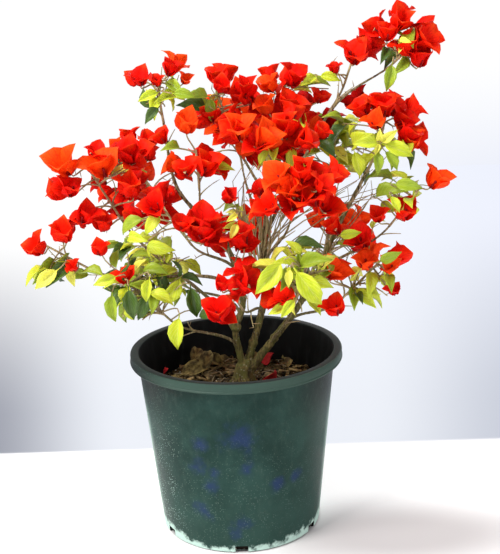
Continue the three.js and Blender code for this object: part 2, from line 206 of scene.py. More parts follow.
def blade_frame(axis: Array, facing: Array) -> Array:
    """Gives a frame whose X lies along an axis and whose Z is as near a facing as it can be.

    Args:
        axis: the direction of the frame's X.
        facing: where its Z should point.

    Returns:
        A 3x3 matrix whose columns are the frame's X, Y and Z.
    """
    along = unit(axis)
    across = np.cross(facing, along)
    if np.linalg.norm(across) < 1e-3:
        across = np.cross(ACROSS, along)
    across = unit(across)
    return np.column_stack([along, across, np.cross(along, across)])


class Path:
    """A smooth line in space, read by the share of its length."""

    def __init__(self, at: Callable[[float], Array]) -> None:
        """Measures the line that a function draws.

        Args:
            at: gives the line's point at a step from 0 to 1.
        """
        self.at = at
        self.steps = np.linspace(0, 1, 201)
        points = np.array([at(step) for step in self.steps])
        parts = np.linalg.norm(np.diff(points, axis=0), axis=1)
        self.lengths = np.concatenate([[0.0], np.cumsum(parts)])

    @property
    def length(self) -> float:
        """The line's whole length."""
        return float(self.lengths[-1])

    def step(self, share: float) -> float:
        """Gives the function's own step at a share of the length."""
        return float(np.interp(share * self.length, self.lengths, self.steps))

    def point(self, share: float) -> Array:
        """Gives the point at a share of the length."""
        return self.at(self.step(share))

    def tangent(self, share: float) -> Array:
        """Gives the direction at a share of the length."""
        step = self.step(share)
        return unit(self.at(min(1.0, step + 1e-4)) - self.at(max(0.0, step - 1e-4)))

    def points(self, count: int) -> Array:
        """Gives evenly spaced points from end to end."""
        return np.array([self.point(share) for share in np.linspace(0, 1, count)])


def bezier(*corners: Array) -> Path:
    """Gives the Bezier line of two, three or four corners.

    Args:
        corners: the corners from end to end.

    Returns:
        The line.
    """

    def at(step: float) -> Array:
        """Gives the line's point at a step.

        Args:
            step: how far along, from 0 to 1.

        Returns:
            The point.
        """
        points = list(corners)
        while len(points) > 1:
            points = [a + (b - a) * step for a, b in pairwise(points)]
        return points[0]

    return Path(at)


def spline(knots: Sequence[Array]) -> Path:
    """Gives the centripetal Catmull-Rom line through a row of knots.

    Args:
        knots: the points that it passes through.

    Returns:
        The line.
    """
    points = [2 * knots[0] - knots[1], *knots, 2 * knots[-1] - knots[-2]]

    def at(step: float) -> Array:
        """Gives the line's point at a step.

        Args:
            step: how far along, from 0 to 1.

        Returns:
            The point.
        """
        place = step * (len(knots) - 1)
        index = min(int(place), len(knots) - 2)
        part = place - index
        x0, x1, x2, x3 = points[index:index + 4]
        gaps = [np.linalg.norm(b - a) ** 0.5 for a, b in ((x0, x1), (x1, x2), (x2, x3))]
        d0, d1, d2 = gaps
        t1 = ((x1 - x0) / d0 - (x2 - x0) / (d0 + d1) + (x2 - x1) / d1) * d1
        t2 = ((x2 - x1) / d1 - (x3 - x1) / (d1 + d2) + (x3 - x2) / d2) * d1
        c2 = -3 * x1 + 3 * x2 - 2 * t1 - t2
        c3 = 2 * x1 - 2 * x2 + t1 + t2
        return x1 + t1 * part + c2 * part**2 + c3 * part**3

    return Path(at)


# Modelling in Blender


def start_clean() -> None:
    """Leaves edit mode and deselects everything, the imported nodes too."""
    if bpy.context.mode != "OBJECT":
        bpy.ops.object.mode_set(mode="OBJECT")
    bpy.ops.object.select_all(action="DESELECT")


def pick_out(obj: Object) -> None:
    """Makes one object the only selected and active one.

    Args:
        obj: the object.
    """
    start_clean()
    obj.select_set(True)
    bpy.context.view_layer.objects.active = obj


def select_where(obj: Object, test: Callable[[Vector], bool]) -> None:
    """Selects, in edit mode, only the vertices that pass a test, and what they bound.

    Args:
        obj: the object in edit mode.
        test: says of a vertex's place whether it is selected.
    """
    sheet = bmesh.from_edit_mesh(obj.data)
    for part in (*sheet.verts, *sheet.edges, *sheet.faces):
        part.select = False
    for vertex in sheet.verts:
        vertex.select = test(vertex.co)
    sheet.select_flush(True)
    bmesh.update_edit_mesh(obj.data)


def add_modifier(obj: Object, kind: str, **settings: object) -> None:
    """Adds a modifier and applies it.

    Args:
        obj: the object to change.
        kind: the modifier's type.
        settings: its properties.
    """
    pick_out(obj)
    modifier = obj.modifiers.new(kind.lower(), kind)
    for name, value in settings.items():
        setattr(modifier, name, value)
    bpy.ops.object.modifier_apply(modifier=modifier.name)


def settle(obj: Object) -> None:
    """Moves an object's place, turn and size into its mesh."""
    pick_out(obj)
    bpy.ops.object.transform_apply(location=True, rotation=True, scale=True)


def joined(objects: Sequence[Object], name: str) -> Object:
    """Joins several meshes into one object.

    Args:
        objects: the meshes.
        name: the new object's name.

    Returns:
        The first object, which now holds them all.
    """
    start_clean()
    for obj in objects:
        obj.select_set(True)
    bpy.context.view_layer.objects.active = objects[0]
    if len(objects) > 1:
        bpy.ops.object.join()
    objects[0].name = name
    objects[0].data.name = name
    return objects[0]


def smooth(obj: Object, angle: float | None = None) -> None:
    """Shades a mesh smooth.

    Args:
        obj: the object.
        angle: edges sharper than this, in degrees, stay sharp; without it none do.
    """
    pick_out(obj)
    if angle is None:
        bpy.ops.object.shade_smooth()
    else:
        bpy.ops.object.shade_smooth_by_angle(angle=math.radians(angle))


@contextmanager
def edit_all() -> Iterator[None]:
    """Has the active mesh in edit mode until the block ends.

    Yields:
        Nothing, once the mesh is selected all over.
    """
    bpy.ops.object.mode_set(mode="EDIT")
    bpy.ops.mesh.select_all(action="SELECT")
    yield
    bpy.ops.object.mode_set(mode="OBJECT")


def add_disc(radius: float, sides: int, place: Sequence[float] = (0, 0, 0),
             fill: str = "NGON") -> Object:
    """Adds a flat round disc, or only its ring.

    Args:
        radius: its radius.
        sides: how many sides it has.
        place: where its middle lies.
        fill: the operator's word for how it is filled.

    Returns:
        The new object.
    """
    start_clean()
    bpy.ops.mesh.primitive_circle_add(vertices=sides, radius=radius, location=place, fill_type=fill)
    return bpy.context.object


def recalculate_normals(obj: Object) -> None:
    """Points every face of a closed mesh outwards.

    Args:
        obj: the object.
    """
    pick_out(obj)
    with edit_all():
        bpy.ops.mesh.remove_doubles(threshold=1e-7)
        bpy.ops.mesh.normals_make_consistent(inside=False)


def mesh_points(obj: Object) -> Array:
    """Reads the vertices of a mesh.

    Args:
        obj: the object.

    Returns:
        One row for each.
    """
    points = np.empty(len(obj.data.vertices) * 3)
    obj.data.vertices.foreach_get("co", points)
    return points.reshape(-1, 3)


def move_points(obj: Object, points: Array) -> None:
    """Writes the vertices of a mesh from rows."""
    obj.data.vertices.foreach_set("co", np.ascontiguousarray(points).ravel())
    obj.data.update()


def extrude_rings(rings: Sequence[tuple[float, float]]) -> None:
    """Extrudes the selected ring of edges through the rings of a turned profile.

    Args:
        rings: radius and height of each ring in metres, from the one that is selected.
    """
    for (radius, height), (next_radius, next_height) in pairwise(rings):
        bpy.ops.mesh.extrude_region_move(
            TRANSFORM_OT_translate={"value": (0, 0, next_height - height)}
        )
        scale = next_radius / radius
        bpy.ops.transform.resize(value=(scale, scale, 1), center_override=(0, 0, next_height))


def finish_piece(
    obj: Object, slot: Slot, nodes: Sequence[str], *materials: bpy.types.Material
) -> None:
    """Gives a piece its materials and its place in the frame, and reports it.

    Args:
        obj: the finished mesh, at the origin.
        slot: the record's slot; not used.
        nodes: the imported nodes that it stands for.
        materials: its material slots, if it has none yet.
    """
    for material in materials:
        obj.data.materials.append(material)
    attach(obj, BODY)
    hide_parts(*nodes)
    log.info("%s: %d faces", obj.name, len(obj.data.polygons))


@dataclass
class Pattern:
    """The arrays of a small mesh that is copied many times."""

    points: Array
    uv: Array
    faces: list[list[int]]

    @classmethod
    def taken_from(cls, obj: Object) -> "Pattern":
        """Reads a modelled object and removes it.

        Args:
            obj: the object, with or without a UV map.

        Returns:
            Its arrays.
        """
        mesh = obj.data
        uv = np.zeros((len(mesh.vertices), 2))
        if mesh.uv_layers:
            for loop, spot in zip(mesh.loops, mesh.uv_layers.active.data):
                uv[loop.vertex_index] = spot.uv
        faces = [list(polygon.vertices) for polygon in mesh.polygons]
        pattern = cls(mesh_points(obj), uv, faces)
        bpy.data.objects.remove(obj)
        bpy.data.meshes.remove(mesh)
        return pattern


class Gathering:
    """Many copies of small meshes that become one joined piece."""

    def __init__(self, name: str) -> None:
        """Starts an empty piece.

        Args:
            name: its name.
        """
        self.name = name
        self.points: list[Array] = []
        self.uv: list[Array] = []
        self.faces: list[list[int]] = []
        self.count = 0

    def add(self, pattern: Pattern, turn: Array, place: Array) -> None:
        """Adds one copy.

        Args:
            pattern: the mesh to copy.
            turn: a 3x3 matrix of its turn and size.
            place: where its own origin goes.
        """
        self.faces.extend([index + self.count for index in face] for face in pattern.faces)
        self.points.append(pattern.points @ turn.T + place)
        self.uv.append(pattern.uv)
        self.count += len(pattern.points)

    def add_twig(self, line: Path, rows: int, foot: float, tip: float, sides: int) -> None:
        """Adds a tube that tapers evenly along a line."""
        self.add_tube(line.points(rows), np.linspace(foot, tip, rows), sides)

    def add_tube(self, spine: Array, radii: Array, sides: int) -> None:
        """Adds a closed round tube.

        Args:
            spine: the points of its middle.
            radii: its radius at each of them.
            sides: how many sides it has.
        """
        heads = np.gradient(spine, axis=0)
        side = basis(heads[0])[:, 0]
        angles = np.arange(sides) * TURN / sides
        rows = []
        for point, head, radius in zip(spine, heads, radii):
            along = unit(head)
            side = unit(side - along * np.dot(side, along))
            other = np.cross(along, side)
            rows.append(point + radius * (np.outer(np.cos(angles), side) + np.outer(np.sin(angles), other)))
        base = self.count
        for row in range(len(spine) - 1):
            low = base + row * sides
            for k in range(sides):
                after = (k + 1) % sides
                self.faces.append([low + k, low + after, low + sides + after, low + sides + k])
        self.faces.append([base + k for k in reversed(range(sides))])
        top = base + (len(spine) - 1) * sides
        self.faces.append([top + k for k in range(sides)])
        self.points.append(np.concatenate(rows))
        shares = np.repeat(np.linspace(0, 1, len(spine)), sides)
        self.uv.append(np.column_stack([np.tile(angles / TURN, len(spine)), shares]))
        self.count += sides * len(spine)

    def build(self) -> Object:
        """Makes the joined mesh from the arrays, given in millimetres.

        Returns:
            The new object, smooth shaded.
        """
        mesh = bpy.data.meshes.new(self.name)
        mesh.from_pydata(np.concatenate(self.points) * MM, [], self.faces)
        mesh.update()
        corner = np.empty(len(mesh.loops), dtype=np.int32)
        mesh.loops.foreach_get("vertex_index", corner)
        layer = mesh.uv_layers.new(name="blade")
        layer.data.foreach_set("uv", np.concatenate(self.uv)[corner].ravel())
        mesh.polygons.foreach_set("use_smooth", np.ones(len(mesh.polygons), dtype=bool))
        obj = bpy.data.objects.new(self.name, mesh)
        bpy.context.scene.collection.objects.link(obj)
        return obj


# Shader building blocks


Colour = tuple[float, float, float]
Socket = bpy.types.NodeSocket


class Shading:
    """Short words for laying out one node tree."""

    def __init__(self, tree: bpy.types.NodeTree, effects: "Effects | None" = None) -> None:
        """Takes an empty tree, and the shared patterns that it may place."""
        self.tree, self.effects = tree, effects
        tree.nodes.clear()

    def node(self, kind: str, sockets: dict | None = None, **settings: object) -> bpy.types.Node:
        """Adds a node.

        Args:
            kind: its type.
            sockets: the value, or the socket to link, of each named or numbered input. A colour has
                three numbers.
            settings: its properties.

        Returns:
            The node.
        """
        made = self.tree.nodes.new(kind)
        for name, value in settings.items():
            setattr(made, name, value)
        for key, value in (sockets or {}).items():
            if isinstance(value, Socket):
                self.tree.links.new(value, made.inputs[key])
            else:
                made.inputs[key].default_value = (*value, 1) if isinstance(value, tuple) else value
        return made

    def place(self) -> Socket:
        """Gives the surface's place in the object's own frame."""
        return self.node("ShaderNodeTexCoord").outputs["Object"]

    def split(self, vector: Socket) -> Sequence[Socket]:
        """Gives the three numbers of a vector."""
        return self.node("ShaderNodeSeparateXYZ", {0: vector}).outputs

    def sum(self, operation: str, *values: object) -> Socket:
        """Works out one sum of numbers or sockets."""
        return self.node("ShaderNodeMath", dict(enumerate(values)), operation=operation).outputs[0]

    def product(self, *values: object) -> Socket:
        """Multiplies two numbers or sockets."""
        return self.sum("MULTIPLY", *values)

    def hypotenuse(self, *sides: object) -> Socket:
        """Gives the root of the sum of two squares."""
        return self.sum("SQRT", self.sum("ADD", *(self.sum("POWER", side, 2) for side in sides)))

    def blend(self, mask: object, low: object, high: object) -> Socket:
        """Mixes two colours by a mask."""
        return self.node("ShaderNodeMix", {0: mask, 6: low, 7: high}, data_type="RGBA").outputs[2]

    def layered(self, base: object, *layers: tuple[object, object]) -> Socket:
        """Lays colours over a first one, each by a mask.

        Args:
            base: the first colour.
            layers: mask and colour of each layer, from the lowest.

        Returns:
            The colour that shows.
        """
        for mask, colour in layers:
            base = self.blend(mask, base, colour)
        return base

    def ranged(self, *values: object) -> Socket:
        """Eases a value from one range, its low and high, to another, which is 0 to 1 unless given."""
        numbered = dict(enumerate(values))
        return self.node("ShaderNodeMapRange", numbered, interpolation_type="SMOOTHSTEP").outputs[0]

    def pattern(self, group: bpy.types.NodeTree, *values: object) -> Socket:
        """Places a shared pattern, with its inputs in order, and gives its mask."""
        return self.node("ShaderNodeGroup", dict(enumerate(values)), node_tree=group).outputs[0]

    def mottle(self, scale: float, detail: float, low: float, high: float) -> Socket:
        """Places soft blotches over the object, between two noise levels."""
        return self.pattern(self.effects.mottle, self.place(), scale, detail, low, high)

    def specks(self, scale: float, size: float, share: float) -> Socket:
        """Places specks over the object, in a share of the cells."""
        return self.pattern(self.effects.specks, self.place(), scale, size, share)

    def streaks(self, scale: float, draw: float, low: float, high: float) -> Socket:
        """Places streaks up the object, between two noise levels."""
        return self.pattern(self.effects.streaks, self.place(), scale, draw, low, high)

    def surface(self, colour: object, rough: object, gloss: float, height: object = None,
                bump: tuple[float, float] = (0.0, 0.0), glow: object = None) -> None:
        """Ends a material in a Principled surface.

        Args:
            colour: its base colour.
            rough: its roughness.
            gloss: its specular level.
            height: the height of its relief, if it has one.
            bump: the relief's strength and its depth in metres.
            glow: the colour that it gives off, if it does.
        """
        sockets = {"Base Color": colour, "Roughness": rough, "Specular IOR Level": gloss}
        if height is not None:
            relief = {"Height": height, "Strength": bump[0], "Distance": bump[1]}
            sockets["Normal"] = self.node("ShaderNodeBump", relief).outputs[0]
        if glow is not None:
            sockets |= {"Emission Color": glow, "Emission Strength": 1.0}
        shader = self.node("ShaderNodeBsdfPrincipled", sockets)
        self.node("ShaderNodeOutputMaterial", {"Surface": shader.outputs[0]})

    def give(self, mask: Socket) -> bpy.types.NodeTree:
        """Ends a group in the mask that it gives, and hands over its tree."""
        self.node("NodeGroupOutput", {0: mask})
        return self.tree


def new_group(name: str, **inputs: float) -> tuple[Shading, Sequence[Socket]]:
    """Starts a shader node group that takes a Vector and some numbers and gives a Mask.

    Args:
        name: its name.
        inputs: the default of each number.

    Returns:
        The tree's builder, and the sockets of the Vector and the numbers.
    """
    tree = bpy.data.node_groups.new(name, "ShaderNodeTree")
    shading = Shading(tree)
    tree.interface.new_socket("Vector", in_out="INPUT", socket_type="NodeSocketVector")
    for label, value in inputs.items():
        socket = tree.interface.new_socket(label, in_out="INPUT", socket_type="NodeSocketFloat")
        socket.default_value = value
    tree.interface.new_socket("Mask", in_out="OUTPUT", socket_type="NodeSocketFloat")
    return shading, tree.nodes.new("NodeGroupInput").outputs[:len(inputs) + 1]


class Effects:
    """The patterns that more than one finish uses, each a node group that is built once."""

    def __init__(self) -> None:
        """Builds the groups."""
        self.mottle = self.make_mottle()
        self.specks = self.make_specks()
        self.veins = self.make_veins()
        self.streaks = self.make_streaks()

    @staticmethod
    def make_mottle() -> bpy.types.NodeTree:
        """Builds soft blotches between two noise levels.

        Returns:
            The group.
        """
        shading, (vector, scale, detail, low, high) = new_group(
            "mottle", Scale=40, Detail=3, From=0.4, To=0.6
        )
        sockets = {"Vector": vector, "Scale": scale, "Detail": detail, "Roughness": 0.6}
        clouds = shading.node("ShaderNodeTexNoise", sockets).outputs[0]
        return shading.give(shading.ranged(clouds, low, high))

    @staticmethod
    def make_specks() -> bpy.types.NodeTree:
        """Builds scattered round specks, of which only some cells have one.

        Returns:
            The group.
        """
        shading, (vector, scale, size, share) = new_group("specks", Scale=300, Size=0.2, Share=0.4)
        cells = shading.node("ShaderNodeTexVoronoi", {"Vector": vector, "Scale": scale}).outputs
        near = shading.sum("LESS_THAN", cells["Distance"], size)
        draw = shading.node("ShaderNodeSeparateColor", {0: cells["Color"]}).outputs[0]
        return shading.give(shading.product(near, shading.sum("LESS_THAN", draw, share)))

    @staticmethod
    def make_veins() -> bpy.types.NodeTree:
        """Builds a midrib and side veins on a blade's own U, along, and V, across.

        Returns:
            The group.
        """
        shading, (blade, pairs, slant, width) = new_group("veins", Pairs=6, Slant=0.5, Width=0.12)
        along, across, _ = shading.split(blade)
        off = shading.sum("ABSOLUTE", shading.sum("SUBTRACT", across, 0.5))
        rib = shading.sum("LESS_THAN", off, 0.02)
        slanted = shading.sum("SUBTRACT", along, shading.product(off, slant))
        phase = shading.sum("FRACT", shading.product(slanted, pairs))
        side = shading.sum("LESS_THAN", phase, width)
        return shading.give(shading.sum("MAXIMUM", rib, side))

    @staticmethod
    def make_streaks() -> bpy.types.NodeTree:
        """Builds fine streaks drawn out along Z, as of fissured bark or of wiped dirt.

        Returns:
            The group.
        """
        shading, (vector, scale, draw, low, high) = new_group(
            "streaks", Scale=200, Draw=0.2, From=0.4, To=0.65
        )
        x, y, z = shading.split(vector)
        drawn = shading.node("ShaderNodeCombineXYZ", {0: x, 1: y, 2: shading.product(z, draw)}).outputs[0]
        sockets = {"Vector": drawn, "Scale": scale, "Detail": 4.0}
        clouds = shading.node("ShaderNodeTexNoise", sockets).outputs[0]
        return shading.give(shading.ranged(clouds, low, high))


class Finish:
    """A finish that makes its own material."""

    name: str

    def paint(self, shading: Shading) -> None:
        """Lays out the finish's nodes."""
        raise NotImplementedError(self.name)

    def make(self, effects: Effects | None = None) -> bpy.types.Material:
        """Builds the material.

        Args:
            effects: the shared shader patterns, if it uses them.

        Returns:
            The material.
        """
        material = bpy.data.materials.new(self.name)
        material.use_nodes = True
        self.paint(Shading(material.node_tree, effects))
        return material


@dataclass(frozen=True)
class MouldedPlastic(Finish):
    """The pot's dull green plastic, blotched blue in front, specked and chalky at its foot, with painted
    light low down and at the right, painted shade under the rim and at its left end, and a painted sheen at
    its edges.
    """

    name: str = "pot_plastic"
    wall: Colour = (0.0085, 0.0275, 0.0225)
    pale: Colour = (0.021, 0.055, 0.046)
    rim: Colour = (0.040, 0.070, 0.056)
    # The colour of a painted light on the lower wall and towards the right.
    painted_light: Colour = (0.030, 0.070, 0.056)
    # The colour of the painted shade under the rim's sides and at the rim's left end.
    painted_shade: Colour = (0.004, 0.0055, 0.0055)
    blue: Colour = (0.016, 0.030, 0.105)
    # Real chalk in specks and round the foot, and also the colour of the painted sheen at the edges.
    chalk_and_sheen: Colour = (0.55, 0.74, 0.66)
    blots: tuple[tuple[float, float, float], ...] = (
        (-1, 147, 30), (-42, 141, 15), (-47, 110, 18), (-27, 106, 14), (9, 108, 17), (-34, 87, 19),
        (43, 85, 14), (65, 88, 14), (-42, 53, 20), (3, 39, 18), (-5, 28, 15),
    )

    def blotches(self, shading: Shading, across: Socket, depth: Socket, height: Socket) -> Socket:
        """Lays soft blue blotches over the pot's front.

        Args:
            shading: the material's builder.
            across: the place's X.
            depth: its Y.
            height: its Z.

        Returns:
            Their mask.
        """
        fringe = shading.mottle(60.0, 5.0, 0.2, 0.8)
        blue = 0.0
        for x, z, reach in self.blots:
            aside, above = shading.sum("SUBTRACT", across, x * MM), shading.sum("SUBTRACT", height, z * MM)
            ragged = shading.product(fringe, reach * 0.8 * MM)
            away = shading.sum("ADD", shading.hypotenuse(aside, above), ragged)
            spot = shading.ranged(away, reach * 0.3 * MM, reach * 1.2 * MM, 1.0, 0.0)
            blue = shading.sum("MAXIMUM", blue, spot)
        return shading.product(blue, shading.ranged(depth, -0.07, -0.05, 1.0, 0.0))

    def chalky(self, shading: Shading, across: Socket, height: Socket) -> tuple[Socket, Socket]:
        """Lays chalky specks, most at the lower left, and a ragged chalky band round the foot.

        Args:
            shading: the material's builder.
            across: the place's X.
            height: its Z.

        Returns:
            The masks of the specks and of the band.
        """
        left = shading.ranged(across, -0.055, -0.092, 0.10, 0.85)
        low = shading.ranged(height, 0.19, 0.07, 0.1, 0.9)
        specks = shading.product(shading.specks(560.0, 0.31, 0.36), left)
        dotted = shading.product(specks, shading.product(low, shading.mottle(48.0, 4.0, 0.34, 0.62)))
        rising = shading.ranged(shading.sum("ABSOLUTE", across), 0.04, 0.09, 0.003, -0.004)
        ragged = shading.product(shading.mottle(95.0, 6.0, 0.25, 0.75), 0.011)
        reach = shading.sum("ADD", height, shading.sum("ADD", rising, ragged))
        return dotted, shading.ranged(reach, 0.0180, 0.0110)

    def paint(self, shading: Shading) -> None:
        """Lays out the outside's nodes.

        Args:
            shading: the material's builder.
        """
        across, depth, height = shading.split(shading.place())
        cloudy = shading.mottle(16.0, 5.0, 0.35, 0.7)
        # Lighter low down and towards the right: a painted light.
        painted_light_mask = shading.sum("MAXIMUM", shading.ranged(height, 0.11, 0.03, 0.0, 0.42),
                              shading.ranged(across, 0.02, 0.08, 0.0, 0.30))
        sides = shading.ranged(shading.sum("ABSOLUTE", across), 0.045, 0.105)
        rim = shading.ranged(height, 0.203, 0.207)
        # Paler where the upper wall is seen at a grazing angle: a painted sheen at the pot's edges, in the
        # chalk's colour.
        grazing = shading.node("ShaderNodeLayerWeight", {"Blend": 0.5}).outputs["Facing"]
        painted_edge_sheen = shading.ranged(grazing, 0.76, 1.0, 0.0, 0.6)
        edge = shading.product(painted_edge_sheen, shading.ranged(height, 0.185, 0.12))
        dotted, foot = self.chalky(shading, across, height)
        colour = shading.layered(
            shading.blend(cloudy, self.wall, self.pale),
            (painted_light_mask, self.painted_light),
            (shading.product(self.blotches(shading, across, depth, height), 0.66), self.blue),
            # High on the wall under the rim, towards both sides: a painted shade.
            (shading.product(sides, shading.ranged(height, 0.135, 0.195, 0.0, 0.85)), self.painted_shade),
            (shading.product(rim, 0.85), self.rim),
            # The rim's left end darkened: a painted shade where the key light falls on it.
            (shading.product(rim, shading.ranged(across, -0.07, -0.122, 0.0, 0.9)), self.painted_shade),
            (shading.product(shading.streaks(160.0, 0.5, 0.5, 0.75), 0.25), self.rim),
            (edge, self.chalk_and_sheen),
            (dotted, self.chalk_and_sheen),
            (shading.product(foot, 0.85), self.chalk_and_sheen),
        )
        dull = shading.product(shading.sum("MAXIMUM", foot, dotted), 0.8)
        rough = shading.sum("MAXIMUM", shading.ranged(cloudy, 0.0, 1.0, 0.36, 0.5), dull)
        shading.surface(colour, rough, 0.08, shading.mottle(900.0, 2.0, 0.3, 0.7), (0.12, 0.0006))


@dataclass(frozen=True)
class DustyShadedPlastic(Finish):
    """The pot's inside, dark all over as a painted shade, with streaks of dust, and a little paler at the
    lip.
    """

    name: str = "pot_plastic_inside"
    # Near-black: a painted shade over the whole inside.
    painted_shade_inside: Colour = (0.0036, 0.0038, 0.0038)
    dust: Colour = (0.014, 0.015, 0.015)
    lip: Colour = (0.012, 0.017, 0.016)

    def paint(self, shading: Shading) -> None:
        """Lays out the nodes.

        Args:
            shading: the material's builder.
        """
        dusty = shading.streaks(90.0, 0.35, 0.45, 0.75)
        height = shading.split(shading.place())[2]
        painted_shade_inside = shading.blend(dusty, self.painted_shade_inside, self.dust)
        colour = shading.blend(shading.ranged(height, 0.2150, 0.2172), painted_shade_inside, self.lip)
        shading.surface(colour, 0.55, 0.12, dusty, (0.1, 0.0006))


@dataclass(frozen=True)
class Compost(Finish):
    """Dark potting mix, brown in clods, with pale grains, and darker low down: a painted shade where it
    shows through the drain slots.
    """

    name: str = "compost"
    dark: Colour = (0.012, 0.008, 0.005)
    brown: Colour = (0.175, 0.118, 0.044)
    grains: Colour = (0.42, 0.38, 0.30)
    grained: float = 0.16

    def paint(self, shading: Shading) -> None:
        """Lays out the nodes.

        Args:
            shading: the material's builder.
        """
        clods = shading.mottle(170.0, 6.0, 0.38, 0.66)
        height = shading.split(shading.place())[2]
        brown = shading.blend(clods, self.dark, self.brown)
        # Darker low down: a painted shade at the foot, which shows through the drain slots.
        colour = shading.blend(shading.ranged(height, 0.03, 0.14), self.dark, brown)
        colour = shading.blend(shading.specks(420.0, 0.3, self.grained), colour, self.grains)
        relief = shading.sum("ADD", clods, shading.mottle(620.0, 5.0, 0.2, 0.8))
        shading.surface(colour, 0.95, 0.12, relief, (0.9, 0.0016))


@dataclass(frozen=True)
class Bark(Finish):
    """Olive-brown bark in fine long fissures, with moss below and warm tan on young wood."""

    name: str
    ground: Colour
    fissure: Colour
    moss: Colour
    mossy: float
    young: Colour = (0.36, 0.27, 0.15)
    lichen: Colour = (0.36, 0.34, 0.25)

    def paint(self, shading: Shading) -> None:
        """Lays out the nodes.

        Args:
            shading: the material's builder.
        """
        streaks = shading.streaks(420.0, 0.22, 0.36, 0.62)
        height = shading.split(shading.place())[2]
        old = shading.blend(streaks, self.fissure, self.ground)
        colour = shading.layered(
            old,
            (shading.ranged(height, 0.235, 0.34, 0.0, 0.8), shading.blend(streaks, old, self.young)),
            (shading.product(shading.mottle(75.0, 5.0, 0.42, 0.6), self.mossy), self.moss),
            (shading.product(shading.specks(360.0, 0.34, 0.22), 0.35), self.lichen),
        )
        shading.surface(colour, 0.82, 0.15, streaks, (0.7, 0.0010))


@dataclass(frozen=True)
class BladeFinish(Finish):
    """A leaf's or a bract's skin in one plain tint, with its veins in low relief, darker at its base as a
    painted shade, and, where sunlit, warmer towards its tip as a painted light.
    """

    name: str
    tint: Colour
    shade: Colour
    vein_and_shade: Colour
    pairs: float
    roughness: float
    gloss: float
    # The share of the blade, from its base, that is darkened as a painted shade.
    shaded_throat: float = 0.02
    sunlit: float = 0.0
    sunlit_tint: Colour = (0.96, 0.135, 0.012)

    def paint(self, shading: Shading) -> None:
        """Lays out the nodes.

        Args:
            shading: the material's builder.
        """
        blade = shading.node("ShaderNodeTexCoord").outputs["UV"]
        along = shading.split(blade)[0]
        soft = shading.mottle(95.0, 3.0, 0.3, 0.7)
        veins = shading.pattern(shading.effects.veins, blade, self.pairs, 0.62, 0.13)
        # Darker towards the base of the blade: a painted shade.
        shaded_throat = shading.ranged(along, self.shaded_throat, 0.0)
        layers = [(shading.product(shaded_throat, 0.8), self.vein_and_shade), (shading.product(veins, 0.4), self.vein_and_shade)]
        if self.sunlit:
            tipped = shading.ranged(along, 0.55, 1.0, 0.0, self.sunlit)
            layers.append((shading.product(tipped, soft), self.sunlit_tint))
        plain = shading.blend(shading.product(soft, 0.55), self.tint, self.shade)
        crinkle = shading.product(shading.mottle(330.0, 2.0, 0.3, 0.7), 0.6)
        shading.surface(shading.layered(plain, *layers), self.roughness, self.gloss,
                        shading.sum("SUBTRACT", crinkle, veins), (0.35, 0.0006))


@dataclass(frozen=True)
class Plain(Finish):
    """A small part's finish: one colour in soft blotches with a little grain."""

    name: str
    colour: Colour
    second: Colour
    roughness: float = 0.7
    scale: float = 300.0

    def paint(self, shading: Shading) -> None:
        """Lays out the nodes.

        Args:
            shading: the material's builder.
        """
        mask = shading.mottle(self.scale, 4.0, 0.35, 0.65)
        colour = shading.blend(mask, self.colour, self.second)
        shading.surface(colour, self.roughness, 0.2, mask, (0.4, 0.0005))


# Each tint of the bracts: its colour, its shade, the colour of its veins and of the painted shade at its
# base, its roughness and its sunlit share
RED_FINISHES = {
    tint: BladeFinish("bract_" + tint.value, *colours, 7.0, rough, 0.08, 0.42, sunlit)
    for tint, colours, rough, sunlit in (
        (Redness.SCARLET, ((0.86, 0.011, 0.0003), (0.70, 0.004, 0.0003), (0.42, 0.001, 0.0003)), 0.6, 0.55),
        (Redness.ORANGE, ((0.95, 0.066, 0.003), (0.86, 0.022, 0.001), (0.62, 0.006, 0.001)), 0.6, 0.6),
        (Redness.CRIMSON, ((0.76, 0.004, 0.0003), (0.55, 0.002, 0.0003), (0.32, 0.0005, 0.0003)), 0.6, 0.3),
        (Redness.DEEP, ((0.48, 0.001, 0.0003), (0.32, 0.0005, 0.0003), (0.18, 0.0005, 0.0003)), 0.62, 0.0),
    )
}

# Each tint of the leaves: its colour, its shade, the colour of its veins and of the painted shade at its
# base, its roughness and its gloss
GREEN_FINISHES = {
    tint: BladeFinish("leaf_" + tint.value, *colours, 9.0, rough, gloss)
    for tint, colours, rough, gloss in (
        (Greenness.LIME, ((0.57, 0.63, 0.024), (0.36, 0.48, 0.016), (0.74, 0.76, 0.24)), 0.45, 0.3),
        (Greenness.YELLOW, ((0.80, 0.76, 0.10), (0.60, 0.62, 0.05), (0.86, 0.82, 0.24)), 0.45, 0.3),
        (Greenness.MIDDLE, ((0.32, 0.41, 0.022), (0.18, 0.28, 0.016), (0.44, 0.54, 0.09)), 0.42, 0.3),
        (Greenness.DARK, ((0.056, 0.105, 0.010), (0.026, 0.066, 0.010), (0.14, 0.23, 0.05)), 0.4, 0.35),
    )
}


# The pot and what fills it


